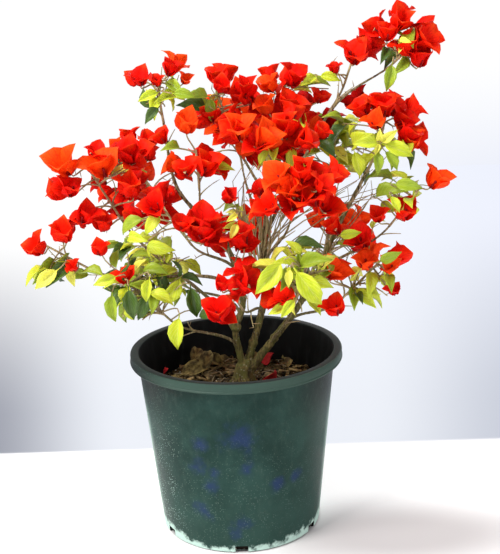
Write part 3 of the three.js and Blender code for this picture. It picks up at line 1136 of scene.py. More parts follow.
@dataclass
class NurseryPot:
    """A tapered plastic nursery pot with a turned-down rim and drain slots round its foot."""

    rim_radius: float = 125 * MM
    height: float = 218 * MM
    base_radius: float = 95.5 * MM
    radius_under_rim: float = 116 * MM
    wall: float = 2 * MM
    base: float = 3 * MM
    skirt_height: float = 11 * MM
    skirt_thickness: float = 1.6 * MM
    lip: float = 2 * MM
    chamfer: float = 1.5 * MM
    bead: float = 0.5 * MM
    facets: int = 128
    slots: int = 6
    slot_size: tuple[float, float, float] = (14 * MM, 15 * MM, 18 * MM)
    first_slot: float = math.radians(-90)
    finishes: tuple[Finish, Finish] = (MouldedPlastic(), DustyShadedPlastic())

    def wall_radius(self, height: float) -> float:
        """Gives the outside radius of the wall at a height."""
        flare = (self.radius_under_rim - self.base_radius) / (self.height - self.skirt_height)
        return self.base_radius + flare * height

    def inside(self, height: float) -> float:
        """Gives the inside radius of the wall at a height."""
        return self.wall_radius(height) - self.wall

    def profile(self) -> list[tuple[float, float]]:
        """Gives the rings of the shell, up the outside, over the rim and down the inside.

        Returns:
            Radius and height of each.
        """
        under = self.height - self.lip
        foot = self.height - self.skirt_height
        inner = self.rim_radius - self.skirt_thickness
        return [
            (self.base_radius - self.chamfer, 0),
            (self.wall_radius(self.chamfer), self.chamfer),
            (self.wall_radius(foot * 0.4), foot * 0.4),
            (self.wall_radius(under - 6 * MM), under - 6 * MM),
            (self.wall_radius(under) + 0.6 * MM, under),
            (inner, under),
            (inner, foot),
            (self.rim_radius, foot),
            (self.rim_radius + self.bead, foot + 0.9 * MM),
            (self.rim_radius + self.bead, foot + 1.7 * MM),
            (self.rim_radius - 0.2 * MM, foot + 2.6 * MM),
            (self.rim_radius, self.height - self.chamfer),
            (self.rim_radius - 0.5 * MM, self.height - 0.5 * MM),
            (self.rim_radius - self.chamfer, self.height),
            (self.inside(self.height) + self.chamfer, self.height),
            (self.inside(self.height) + 0.4 * MM, self.height - 0.5 * MM),
            (self.inside(under), under),
            (self.inside(foot * 0.5), foot * 0.5),
            (self.inside(self.base), self.base),
        ]

    def model_shell(self) -> Object:
        """Models the turned shell by extruding one ring through the profile.

        Returns:
            The shell.
        """
        rings = self.profile()
        radius, height = rings[0]
        shell = add_disc(radius, self.facets, (0, 0, height), "NOTHING")
        with edit_all():
            extrude_rings(rings)
            bpy.ops.mesh.edge_face_add()
            select_where(shell, lambda point: point.z < 1e-6)
            bpy.ops.mesh.edge_face_add()
        settle(shell)
        recalculate_normals(shell)
        return shell

    def model_slots(self) -> Object:
        """Models the blocks that the drain slots are cut with.

        Returns:
            The joined blocks.
        """
        blocks = []
        for index in range(self.slots):
            angle = self.first_slot + TURN * index / self.slots
            start_clean()
            place = (self.base_radius * math.cos(angle), self.base_radius * math.sin(angle), 0)
            bpy.ops.mesh.primitive_cube_add(size=1, location=place, rotation=(0, 0, angle))
            block = bpy.context.object
            block.scale = self.slot_size
            settle(block)
            add_modifier(block, "BEVEL", width=1.2 * MM, segments=3, limit_method="ANGLE")
            blocks.append(block)
        return joined(blocks, "slot_blocks")

    def is_dark(self, polygon: bpy.types.MeshPolygon) -> bool:
        """Says whether a face takes the inside's finish, which is dark as a painted shade: the pot's inside,
        the lip's top and the sides of the cuts.

        Args:
            polygon: the face.

        Returns:
            Whether it does.
        """
        centre, normal = polygon.center, polygon.normal
        reach = centre.xy.length
        outward = centre.x * normal.x + centre.y * normal.y
        is_inner = reach < self.wall_radius(centre.z) - 0.6 * self.wall
        is_inside = is_inner and centre.z > self.base * 0.8 and (outward < 0 or normal.z > 0.9)
        is_cut = centre.z < self.slot_size[2] / 2 and polygon.area < 3e-5 and centre.z > 1e-4
        faces_out = normal.xy.dot(centre.xy.normalized()) > 0.8
        is_top = normal.z > 0.7 and reach < self.rim_radius - self.chamfer
        return is_inside or (is_cut and not faces_out) or (is_top and centre.z > self.height / 2)

    def build(self, effects: Effects) -> None:
        """Models and dresses the pot.

        Args:
            effects: the shared shader patterns.
        """
        pot = self.model_shell()
        blocks = self.model_slots()
        add_modifier(pot, "BOOLEAN", operation="DIFFERENCE", object=blocks, solver="EXACT")
        bpy.data.objects.remove(blocks)
        smooth(pot, 32)
        pot.name = "nursery_pot"
        for finish in self.finishes:
            pot.data.materials.append(finish.make(effects))
        for polygon in pot.data.polygons:
            polygon.material_index = int(self.is_dark(polygon))
        finish_piece(pot, Slot.POT, ["pot"])


# What lies on the mix: each kind's finish, and x, y, size and turn of each of its pieces
LITTER = {
    "dead_leaves": (Plain("dead_leaf", (0.055, 0.038, 0.015), (0.29, 0.215, 0.075), 0.8, 110.0), (
        (-58, -42, 34, 0.4), (-38, -66, 38, 2.2), (-66, 4, 30, 4.0), (-22, -80, 30, 5.4),
        (-44, 30, 40, 1.2), (-30, 52, 42, 3.0), (62, 40, 30, 0.9), (40, -70, 24, 3.9), (70, -30, 26, 5.1),
        (-80, -36, 28, 1.9), (-10, -58, 26, 0.1), (-52, -12, 32, 5.9), (20, 70, 32, 2.6),
        (-8, -86, 24, 3.4), (-58, 56, 38, 1.0), (-34, 74, 36, 1.9), (-72, 34, 42, 0.4), (-14, 62, 38, 2.7),
    )),
    "yellow_leaf": (Plain("fading_leaf", (0.52, 0.46, 0.05), (0.36, 0.34, 0.05), 0.6, 90.0), (
        (-35, -4, 19, 5.0), (72, -52, 14, 1.0),
    )),
    "fallen_bracts": (Plain("fallen_bract", (0.42, 0.010, 0.012), (0.25, 0.008, 0.010), 0.65, 120.0), (
        (44, -20, 27, 0.6), (-74, -62, 20, 2.8), (36, 62, 22, 4.2), (-88, 22, 20, 1.4),
    )),
}


@dataclass
class PottingMix:
    """The potting mix: an uneven filling with clods, bark chips, dead leaves, fallen bracts and grit."""

    level: float = 168.0
    edge: float = 164.0
    foot: float = 3.3
    foot_radius: float = 93.5
    edge_radius: float = 109.4
    facets: int = 120
    seat: float = 24.0
    seat_fade: float = 30.0
    shoulder: float = 88.0
    rings: tuple[float, ...] = (100, 92, 84, 76, 68, 60, 52, 45, 38, 31, 24, 16, 8)
    clods: int = 240
    chips: int = 150
    straws: int = 46
    grit: int = 26
    propped: float = 37.0
    seed: int = 61

    def surface_height(self, x: float, y: float) -> float:
        """Gives the top's height over a place, level under the trunk and lower near the wall.

        Args:
            x: how far to the right in millimetres.
            y: how far back in millimetres.

        Returns:
            The height in millimetres.
        """
        radius = math.hypot(x, y)
        fade = min(1.0, max(0.0, (radius - self.seat) / self.seat_fade))
        drop = max(0.0, (radius - self.shoulder) / 20) * 4
        lumps = noise.fractal(Vector((x / 15, y / 15, 3.1)), 0.7, 2.0, 4)
        broad = math.sin(x / 17 + 1) * math.cos(y / 14) + 0.6 * math.sin((x + y) / 9)
        return self.level + fade * (1.6 * broad + 2.2 * lumps) - drop + (1 - fade) * 0.4 * lumps

    def model_filling(self) -> Object:
        """Models the filling: a tapered plug whose top is inset in rings and made uneven.

        Returns:
            The filling.
        """
        plug = add_disc(self.foot_radius * MM, self.facets, (0, 0, self.foot * MM))
        with edit_all():
            extrude_rings([(self.foot_radius * MM, self.foot * MM), (self.edge_radius * MM, self.edge * MM)])
            for outer, inner in pairwise((self.edge_radius, *self.rings)):
                bpy.ops.mesh.inset(thickness=(outer - inner) * MM)
            bpy.ops.mesh.poke()
        settle(plug)
        recalculate_normals(plug)
        points = mesh_points(plug)
        for row in points:
            if row[2] > self.edge * 0.98 * MM:
                row[2] = self.surface_height(row[0] / MM, row[1] / MM) * MM
        move_points(plug, points)
        smooth(plug)
        plug.name = "potting_mix_filling"
        return plug

    def model_clod(self) -> Pattern:
        """Models one crumbly clod.

        Returns:
            Its arrays, a unit across.
        """
        start_clean()
        bpy.ops.mesh.primitive_ico_sphere_add(subdivisions=2, radius=0.5)
        clod = bpy.context.object
        points = mesh_points(clod)
        for row in points:
            row *= 1 + 0.42 * noise.noise(Vector(row) * 2.6)
            row[2] *= 0.72
        move_points(clod, points)
        return Pattern.taken_from(clod)

    def model_chip(self) -> Pattern:
        """Models one split chip of bark.

        Returns:
            Its arrays, a unit long.
        """
        start_clean()
        bpy.ops.mesh.primitive_cube_add(size=1)
        chip = bpy.context.object
        chip.scale = (1, 0.5, 0.16)
        settle(chip)
        with edit_all():
            bpy.ops.mesh.subdivide(number_cuts=1)
        points = mesh_points(chip)
        for row in points:
            row += np.array(noise.noise_vector(Vector(row) * 3.1)) * (0.14, 0.12, 0.07)
        move_points(chip, points)
        add_modifier(chip, "BEVEL", width=0.03, segments=1, limit_method="ANGLE")
        return Pattern.taken_from(chip)

    def scatter(self, count: int, key: int, inner: float, outer: float) -> Iterator[tuple[int, Array]]:
        """Gives places spread evenly over the top's area.

        Args:
            count: how many.
            key: the draw's own number.
            inner: the least radius.
            outer: the greatest.

        Yields:
            Each place's index and the point on the surface.
        """
        for index in range(count):
            radius = math.sqrt(between(inner**2, outer**2, self.seed, key, index, 1))
            angle = TURN * chance(self.seed, key, index, 2)
            x, y = radius * math.cos(angle), radius * math.sin(angle)
            yield index, np.array([x, y, self.surface_height(x, y)])

    def strewn(self, name: str, crumb: Pattern, count: int, keys: tuple[int, int],
               radii: tuple[float, float], sizes: tuple[float, float], upright: float,
               lift: float) -> Gathering:
        """Strews copies of a crumb over the top, each turned and tilted its own way.

        Args:
            name: the piece's name.
            crumb: the crumb.
            count: how many.
            keys: the number of their places' draws, and the first of their tilts'.
            radii: the least and the greatest radius.
            sizes: the smallest and the largest size.
            upright: how upright they stand.
            lift: how far they stand out, as a share of their size.

        Returns:
            The piece.
        """
        heap = Gathering(name)
        for index, place in self.scatter(count, keys[0], *radii):
            size = between(*sizes, self.seed, keys[0], index, 3)
            aside, ahead, spin = (chance(self.seed, keys[1] + part, index) for part in range(3))
            turn = basis(np.array([aside - 0.5, ahead - 0.5, upright]), TURN * spin)
            heap.add(crumb, turn * size, place + UP * size * lift)
        return heap

    def lay(self, effects: Effects, piece: Object, finish: Finish) -> None:
        """Dresses one piece of the mix."""
        finish_piece(piece, Slot.MIX, ["potting_mix"], finish.make(effects))

    def build(self, effects: Effects, leaf: Pattern, bract: Pattern) -> None:
        """Models and dresses the mix and all that lies on it.

        Args:
            effects: the shared shader patterns.
            leaf: a leaf to copy for the dead ones.
            bract: a bract to copy for the fallen ones.
        """
        self.lay(effects, self.model_filling(), Compost())
        clod, chip = self.model_clod(), self.model_chip()
        clods = self.strewn("mix_clods", clod, self.clods, (1, 4), (20, 104), (3, 9.5), 1, 0.12)
        chips = self.strewn("mix_bark_chips", chip, self.chips, (2, 7), (22, 103), (6, 17), 1.1, 0.13)
        tan = Plain("bark_chips", (0.060, 0.040, 0.020), (0.34, 0.235, 0.100), 0.85, 120.0)
        self.lay(effects, clods.build(), Compost("compost_clods", grained=0.06))
        self.lay(effects, chips.build(), tan)
        self.lay_litter(effects, leaf, bract)
        self.lay_roots_and_grit(effects, clod)

    def lay_litter(self, effects: Effects, leaf: Pattern, bract: Pattern) -> None:
        """Lays dead leaves, a few still yellow, and fallen bracts on the mix.

        Args:
            effects: the shared shader patterns.
            leaf: the leaf to copy.
            bract: the bract to copy.
        """
        index = 0
        for name, (finish, places) in LITTER.items():
            heap = Gathering(name)
            for x, y, size, spin in places:
                aside, ahead = (between(-0.5, 0.5, self.seed, key, index) for key in (11, 12))
                tilt = np.array([aside, ahead - 1.0 if size > self.propped else ahead, 1])
                place = np.array([x, y, self.surface_height(x, y) + 2.6])
                heap.add(bract if name == "fallen_bracts" else leaf, basis(tilt, spin) * size, place)
                index += 1
            self.lay(effects, heap.build(), finish)

    def lay_roots_and_grit(self, effects: Effects, clod: Pattern) -> None:
        """Adds pale surface roots and straws, and grains of perlite.

        Args:
            effects: the shared shader patterns.
            clod: the crumb to copy for the grains.
        """
        straws, grit = Gathering("mix_straws"), Gathering("perlite_grains")
        for index, place in self.scatter(self.straws, 3, 20, 100):
            angle = TURN * chance(self.seed, 13, index)
            half = between(5, 14, self.seed, 14, index) * np.array([math.cos(angle), math.sin(angle), 0])
            spine = np.array([place - half, place + UP * between(1, 4, self.seed, 15, index), place + half])
            straws.add_tube(spine + UP * 1.2, np.array([0.5, 0.6, 0.3]), 5)
        for x, y, lean in ((-2, -21, -5), (4, -24, 3), (-12, -16, -9), (15, -19, 7)):
            top = np.array([x * 0.6 + 3, y * 0.62, self.level + 9])
            spine = np.array([top, [x, y, self.level + 3.4], [x + lean, y - 9, self.level - 1]])
            straws.add_tube(spine, np.array([1.3, 1.0, 0.6]), 6)
        for index, place in self.scatter(self.grit, 4, 24, 102):
            size = between(1.4, 3.4, self.seed, 16, index)
            grit.add(clod, basis(UP, TURN * chance(self.seed, 17, index)) * size, place + UP * 1.4)
        pale = Plain("pale_root", (0.40, 0.33, 0.22), (0.22, 0.16, 0.10), 0.8, 160.0)
        white = Plain("perlite", (0.66, 0.62, 0.54), (0.42, 0.39, 0.32), 0.9, 500.0)
        self.lay(effects, straws.build(), pale)
        self.lay(effects, grit.build(), white)


# The plant's plan: limbs, and the space of the mass at the tip of each


@dataclass
class Mass:
    """The space that one limb's twigs, leaves and blooms keep to, in millimetres."""

    name: str
    centre: Array
    reach: Array
    bloom: float
    seed: int

    def reach_along(self, way: Array) -> float:
        """Gives how far the space reaches from its centre in a direction."""
        return float(1 / np.linalg.norm(way / self.reach))

    def share(self, point: Array) -> float:
        """Gives a point's share of the reach, under 1 inside the space."""
        return float(np.linalg.norm((point - self.centre) / self.reach))


@dataclass
class Limb:
    """One tapering limb, from what it leaves to the mouth of its mass."""

    name: str
    path: Path
    foot: float
    tip: float
    arrive: Array
    mass: Mass


@dataclass(frozen=True)
class LimbRow:
    """A limb as planned: what it leaves and where, its foot, its bends and its mass."""

    name: str
    parent: str
    leaves: float
    foot: float
    mass: tuple[str, tuple[float, float, float], tuple[float, float, float], float, int]
    start: tuple[float, float, float] | None = None
    tip: float = 1.4
    bends: tuple[tuple[float, float, float], ...] = ()


LIMB_ROWS = tuple(LimbRow(*row) for row in (
    ("left_stem", "trunk", 0, 5, ("spray_upper_left", (-76, 6, 520), (52, 42, 42), 0.75, 11), (9, -1, 184),
     1.6, ((4, -5, 212), (0, -9, 240), (10, -4, 274), (-8, 4, 342), (-38, 9, 376), (-62, 12, 410))),
    ("middle_stem", "trunk", 0, 5.4, ("crown_centre", (50, -22, 470), (66, 60, 48), 1, 12), (12, 1, 184),
     2.2, ((18, 4, 212), (26, 6, 238), (35, 9, 276), (34, 9, 325), (40, 6, 372))),
    ("right_stem", "trunk", 0, 5.4, ("crown_right", (170, 4, 466), (62, 56, 54), 0.85, 13), (13, -2, 184),
     2, ((28, -5, 206), (46, -7, 230), (64, -10, 254), (92, -6, 296), (118, 0, 352))),
    ("bough_left_side", "left_stem", 0.17, 3, ("side_left", (-150, -4, 420), (66, 58, 54), 0.95, 14)),
    ("bough_left_tip", "left_stem", 0.33, 2.6, ("tip_left", (-204, -2, 342), (54, 48, 42), 0.6, 15)),
    ("bough_low_left", "left_stem", 0.12, 2.4, ("low_left", (-106, -26, 294), (64, 56, 50), 0.15, 16)),
    ("bough_inner_left", "left_stem", 0.4, 2.4, ("inner_left", (-66, -50, 386), (60, 50, 46), 0.8, 17)),
    ("bough_shoulder_left", "left_stem", 0.62, 2.2,
     ("shoulder_left", (-36, -14, 444), (50, 46, 42), 0.75, 18)),
    ("bough_back_left", "left_stem", 0.46, 2.6, ("back_left", (-112, 104, 412), (66, 62, 56), 0.75, 19)),
    ("bough_low_back_left", "left_stem", 0.24, 2.4,
     ("low_back_left", (-98, 108, 308), (62, 58, 46), 0.4, 20)),
    ("bough_crown_left", "middle_stem", 0.8, 2.3, ("crown_left", (-10, 42, 506), (52, 50, 40), 0.85, 21)),
    ("bough_crown_top", "middle_stem", 0.72, 2.4, ("crown_top", (58, 52, 508), (62, 54, 42), 0.95, 22)),
    ("bough_front", "middle_stem", 0.5, 2.4, ("front", (72, -92, 416), (58, 52, 46), 1, 23)),
    ("bough_low_front", "middle_stem", 0.3, 2.2, ("low_front", (0, -76, 304), (44, 42, 46), 0.9, 24)),
    ("bough_back", "middle_stem", 0.62, 2.6, ("back", (8, 136, 452), (66, 60, 54), 0.85, 25)),
    ("bough_low_back", "middle_stem", 0.36, 2.6, ("low_back", (14, 138, 334), (62, 58, 50), 0.5, 26)),
    ("bough_top_tip", "middle_stem", 0.66, 2.6, ("tip_top_right", (201, 10, 565), (48, 46, 44), 0.95, 27),
     None, 1.4, ((87, 18, 440), (125, 15, 500))),
    ("bough_top_shoulder", "bough_top_tip", 0.62, 1.7,
     ("shoulder_top", (143, 22, 550), (40, 38, 36), 0.9, 28)),
    ("bough_right_side", "right_stem", 0.52, 2.4, ("side_right", (206, -6, 392), (52, 48, 44), 0.7, 29)),
    ("bough_low_right", "right_stem", 0.3, 2.4, ("low_right", (152, -24, 308), (60, 56, 50), 0.7, 30)),
    ("bough_front_right", "right_stem", 0.16, 2.2, ("front_right", (76, -84, 322), (52, 50, 46), 0.35, 31)),
    ("bough_back_right", "right_stem", 0.6, 2.6, ("back_right", (126, 108, 428), (64, 62, 56), 0.8, 32)),
    ("bough_low_back_right", "right_stem", 0.36, 2.4,
     ("low_back_right", (122, 102, 318), (60, 56, 48), 0.5, 33)),
))


@dataclass(frozen=True)
class Patch:
    """A part of the crown as it shows from the front: an ellipse on the plane Y = 0, in millimetres."""

    x: float
    z: float
    half_width: float
    half_height: float

    def holds(self, x: float, z: float, grown: float = 1.0) -> bool:
        """Says whether a place on the plane is inside the ellipse, grown by a factor."""
        return math.hypot((x - self.x) / self.half_width, (z - self.z) / self.half_height) <= grown


@dataclass(frozen=True)
class Spray(Patch):
    """A spray of blooms on the front of one mass."""

    blooms: int
    mass: str


@dataclass(frozen=True)
class MarkedLeaf:
    """A large leaf that shows plainly: its mass, its foot and its tip on the plane Y = 0, and its tint."""

    mass: str
    foot: tuple[float, float]
    tip: tuple[float, float]
    tint: Greenness


# Each mass's sprays of blooms: x, z, half width, half height and count
SPRAY_ROWS = {
    "tip_top_right": (
        (178, 575, 13, 15, 1), (193, 587, 15, 20, 1), (215, 569, 16, 21, 2), (214, 547, 15, 14, 1),
        (200, 560, 14, 17, 1),
    ),
    "shoulder_top": ((144, 556, 17, 19, 2), (119, 538, 9, 11, 1)),
    "crown_top": (
        (47, 523, 15, 11, 1), (74, 530, 16, 17, 2), (69, 498, 20, 18, 2), (42, 500, 14, 14, 1),
        (103, 507, 9, 12, 1),
    ),
    "crown_left": ((-5, 523, 15, 13, 1), (21, 516, 16, 20, 2), (-18, 491, 13, 14, 1)),
    "crown_centre": (
        (12, 473, 17, 17, 2), (37, 461, 19, 18, 2), (63, 474, 17, 17, 2), (87, 460, 16, 18, 2),
        (105, 468, 10, 14, 1), (61, 447, 16, 12, 1), (31, 405, 9, 12, 1),
    ),
    "front": (
        (55, 419, 16, 20, 1), (84, 424, 16, 15, 2), (44, 386, 16, 14, 1), (75, 389, 16, 13, 2),
        (108, 387, 19, 18, 2), (106, 409, 13, 13, 1), (68, 403, 16, 14, 1),
    ),
    "crown_right": (
        (149, 493, 12, 15, 1), (178, 495, 22, 18, 3), (195, 481, 14, 15, 1), (165, 478, 15, 12, 1),
        (201, 458, 16, 20, 2),
    ),
    "side_right": ((235, 411, 18, 19, 1), (197, 377, 15, 20, 1), (168, 371, 12, 12, 1)),
    "low_right": (
        (145, 343, 16, 17, 2), (116, 359, 17, 11, 1), (153, 317, 14, 17, 1), (180, 311, 14, 11, 1),
        (187, 281, 7, 11, 1), (115, 308, 17, 15, 2),
    ),
    "front_right": ((117, 263, 16, 17, 1), (58, 278, 15, 15, 1)),
    "low_front": ((14, 301, 21, 25, 3), (-15, 261, 20, 17, 2), (-14, 294, 10, 9, 1), (12, 349, 16, 19, 2)),
    "spray_upper_left": (
        (-95, 535, 12, 15, 1), (-62, 543, 12, 14, 1), (-77, 530, 7, 9, 1), (-45, 531, 8, 9, 1),
    ),
    "shoulder_left": (
        (-46, 483, 15, 18, 1), (-76, 468, 13, 12, 1), (-50, 432, 13, 17, 1), (-27, 435, 16, 17, 1),
    ),
    "side_left": (
        (-186, 442, 22, 18, 1), (-182, 414, 20, 12, 1), (-145, 438, 16, 24, 1), (-110, 450, 22, 20, 2),
        (-114, 413, 19, 17, 1), (-82, 389, 23, 24, 3), (-101, 372, 14, 14, 1), (-166, 382, 16, 15, 1),
        (-147, 373, 13, 19, 1),
    ),
    "tip_left": ((-194, 362, 15, 18, 1), (-226, 347, 16, 14, 1), (-186, 322, 7, 7, 1)),
    "inner_left": ((-56, 368, 12, 11, 1), (-31, 360, 20, 26, 3), (-2, 399, 10, 13, 1)),
    "low_left": ((-153, 342, 14, 12, 1), (-127, 308, 14, 12, 1)),
}
SPRAYS = tuple(Spray(*row, mass) for mass, rows in SPRAY_ROWS.items() for row in rows)

LEAFY_PATCHES = tuple(Patch(*row) for row in (
    (-97, 309, 64, 31), (-119, 268, 28, 18), (-45, 271, 15, 39), (-203, 316, 37, 14),
    (-113, 347, 37, 14), (-66, 508, 30, 15), (-23, 505, 17, 10), (-65, 448, 10, 16), (4, 365, 18, 21),
    (1, 426, 9, 10), (74, 318, 45, 27), (67, 256, 20, 13), (158, 283, 25, 18), (179, 400, 34, 27),
    (156, 441, 45, 22), (122, 472, 19, 33), (110, 521, 27, 13), (184, 541, 14, 30), (60, 435, 38, 11),
))

L, Y, M, D = Greenness.LIME, Greenness.YELLOW, Greenness.MIDDLE, Greenness.DARK

# Each mass's marked leaves: x and z of foot and tip, and tint
MARKED_ROWS = {
    "front_right": (
        (59, 322, 23, 279, L), (70, 312, 105, 262, L), (66, 312, 63, 287, Y), (72, 275, 53, 251, L),
    ),
    "low_left": (
        (-65, 260, -71, 213, L), (-51, 296, -44, 252, D), (-134, 309, -165, 298, L),
        (-142, 290, -143, 250, M), (-123, 296, -119, 252, D), (-97, 307, -105, 274, L),
    ),
    "tip_left": ((-201, 320, -234, 295, Y),),
    "tip_top_right": ((183, 542, 177, 510, M), (189, 566, 204, 563, Y)),
    "spray_upper_left": ((-74, 518, -100, 509, L), (-75, 502, -94, 483, D), (-61, 516, -34, 512, M)),
    "crown_top": ((101, 530, 81, 520, L), (101, 530, 127, 525, L)),
    "crown_right": (
        (169, 454, 138, 454, L), (169, 454, 164, 440, Y), (169, 454, 190, 468, Y),
        (171, 453, 210, 438, L), (167, 455, 170, 470, Y), (174, 446, 192, 422, M),
        (165, 446, 168, 416, M),
    ),
    "inner_left": ((8, 378, -6, 369, Y), (7, 368, -3, 347, Y)),
    "side_right": ((181, 394, 194, 373, L), (184, 407, 220, 401, M)),
    "low_right": ((122, 348, 149, 352, L), (168, 316, 196, 327, M)),
}
MARKED_LEAVES = tuple(
    MarkedLeaf(mass, row[:2], row[2:4], row[4]) for mass, rows in MARKED_ROWS.items() for row in rows
)


@dataclass(frozen=True)
class FrontView:
    """Says what of the crown shows where from the front: sprays, leafy patches, and sky between them."""

    eye: tuple[float, float, float] = (19.07, -1121.61, 608.93)
    sprays: tuple[Spray, ...] = SPRAYS
    leafy: tuple[Patch, ...] = LEAFY_PATCHES

    def across(self, point: Array) -> tuple[float, float]:
        """Gives where a point shows on the plane Y = 0.

        Args:
            point: the point.

        Returns:
            Its X and Z on the plane.
        """
        eye = np.array(self.eye)
        seen = eye + (point - eye) * (eye[1] / (eye[1] - point[1]))
        return float(seen[0]), float(seen[2])

    def at_depth(self, x: float, z: float, depth: float) -> Array:
        """Gives the point at a depth that shows at a place on the plane Y = 0."""
        eye = np.array(self.eye)
        return eye + (np.array([x, 0.0, z]) - eye) * ((depth - eye[1]) / -eye[1])

    def is_red(self, point: Array, grown: float = 1.0) -> bool:
        """Says whether a point shows inside a spray."""
        x, z = self.across(point)
        return any(spray.holds(x, z, grown) for spray in self.sprays)

    def is_green(self, point: Array, grown: float = 1.0) -> bool:
        """Says whether a point shows inside a leafy patch."""
        x, z = self.across(point)
        return any(patch.holds(x, z, grown) for patch in self.leafy)


@dataclass
class PlantPlan:
    """Works out every limb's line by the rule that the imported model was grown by."""

    rows: tuple[LimbRow, ...] = LIMB_ROWS
    lift: float = 0.35
    along_parent: float = 0.6
    bow: float = 0.35
    entry_share: float = 0.86
    limbs: dict[str, Limb] = field(default_factory=dict)

    def grow(self) -> dict[str, Limb]:
        """Works out the limbs in order.

        Returns:
            Each limb by its name.
        """
        for row in self.rows:
            name, centre, reach, bloom, seed = row.mass
            mass = Mass(name, np.array(centre, float), np.array(reach, float), bloom, seed)
            path, arrive = self.line(row, mass)
            self.limbs[row.name] = Limb(row.name, path, row.foot, row.tip, arrive, mass)
        return self.limbs

    def line(self, row: LimbRow, mass: Mass) -> tuple[Path, Array]:
        """Works out one limb's line.

        Args:
            row: the limb's plan.
            mass: the mass at its tip.

        Returns:
            Its line, and the direction in which it arrives at the mass.
        """
        parent = self.limbs.get(row.parent)
        start = parent.path.point(row.leaves) if parent else np.array(row.start, float)
        bends = [np.array(bend, float) for bend in row.bends]
        towards = mass.centre - (bends[-1] if bends else start)
        arrive = unit(unit(towards) + UP * self.lift)
        mouth = mass.centre - arrive * mass.reach_along(arrive) * self.entry_share
        if bends:
            return spline([start, *bends, mouth]), arrive
        span = float(np.linalg.norm(mouth - start))
        leave = unit(parent.path.tangent(row.leaves) * self.along_parent + unit(towards))
        bow = span * self.bow
        return bezier(start, start + leave * bow, mouth - arrive * bow, mouth), arrive

    def masses(self) -> list[Mass]:
        """Gives every mass."""
        return [limb.mass for limb in self.limbs.values()]


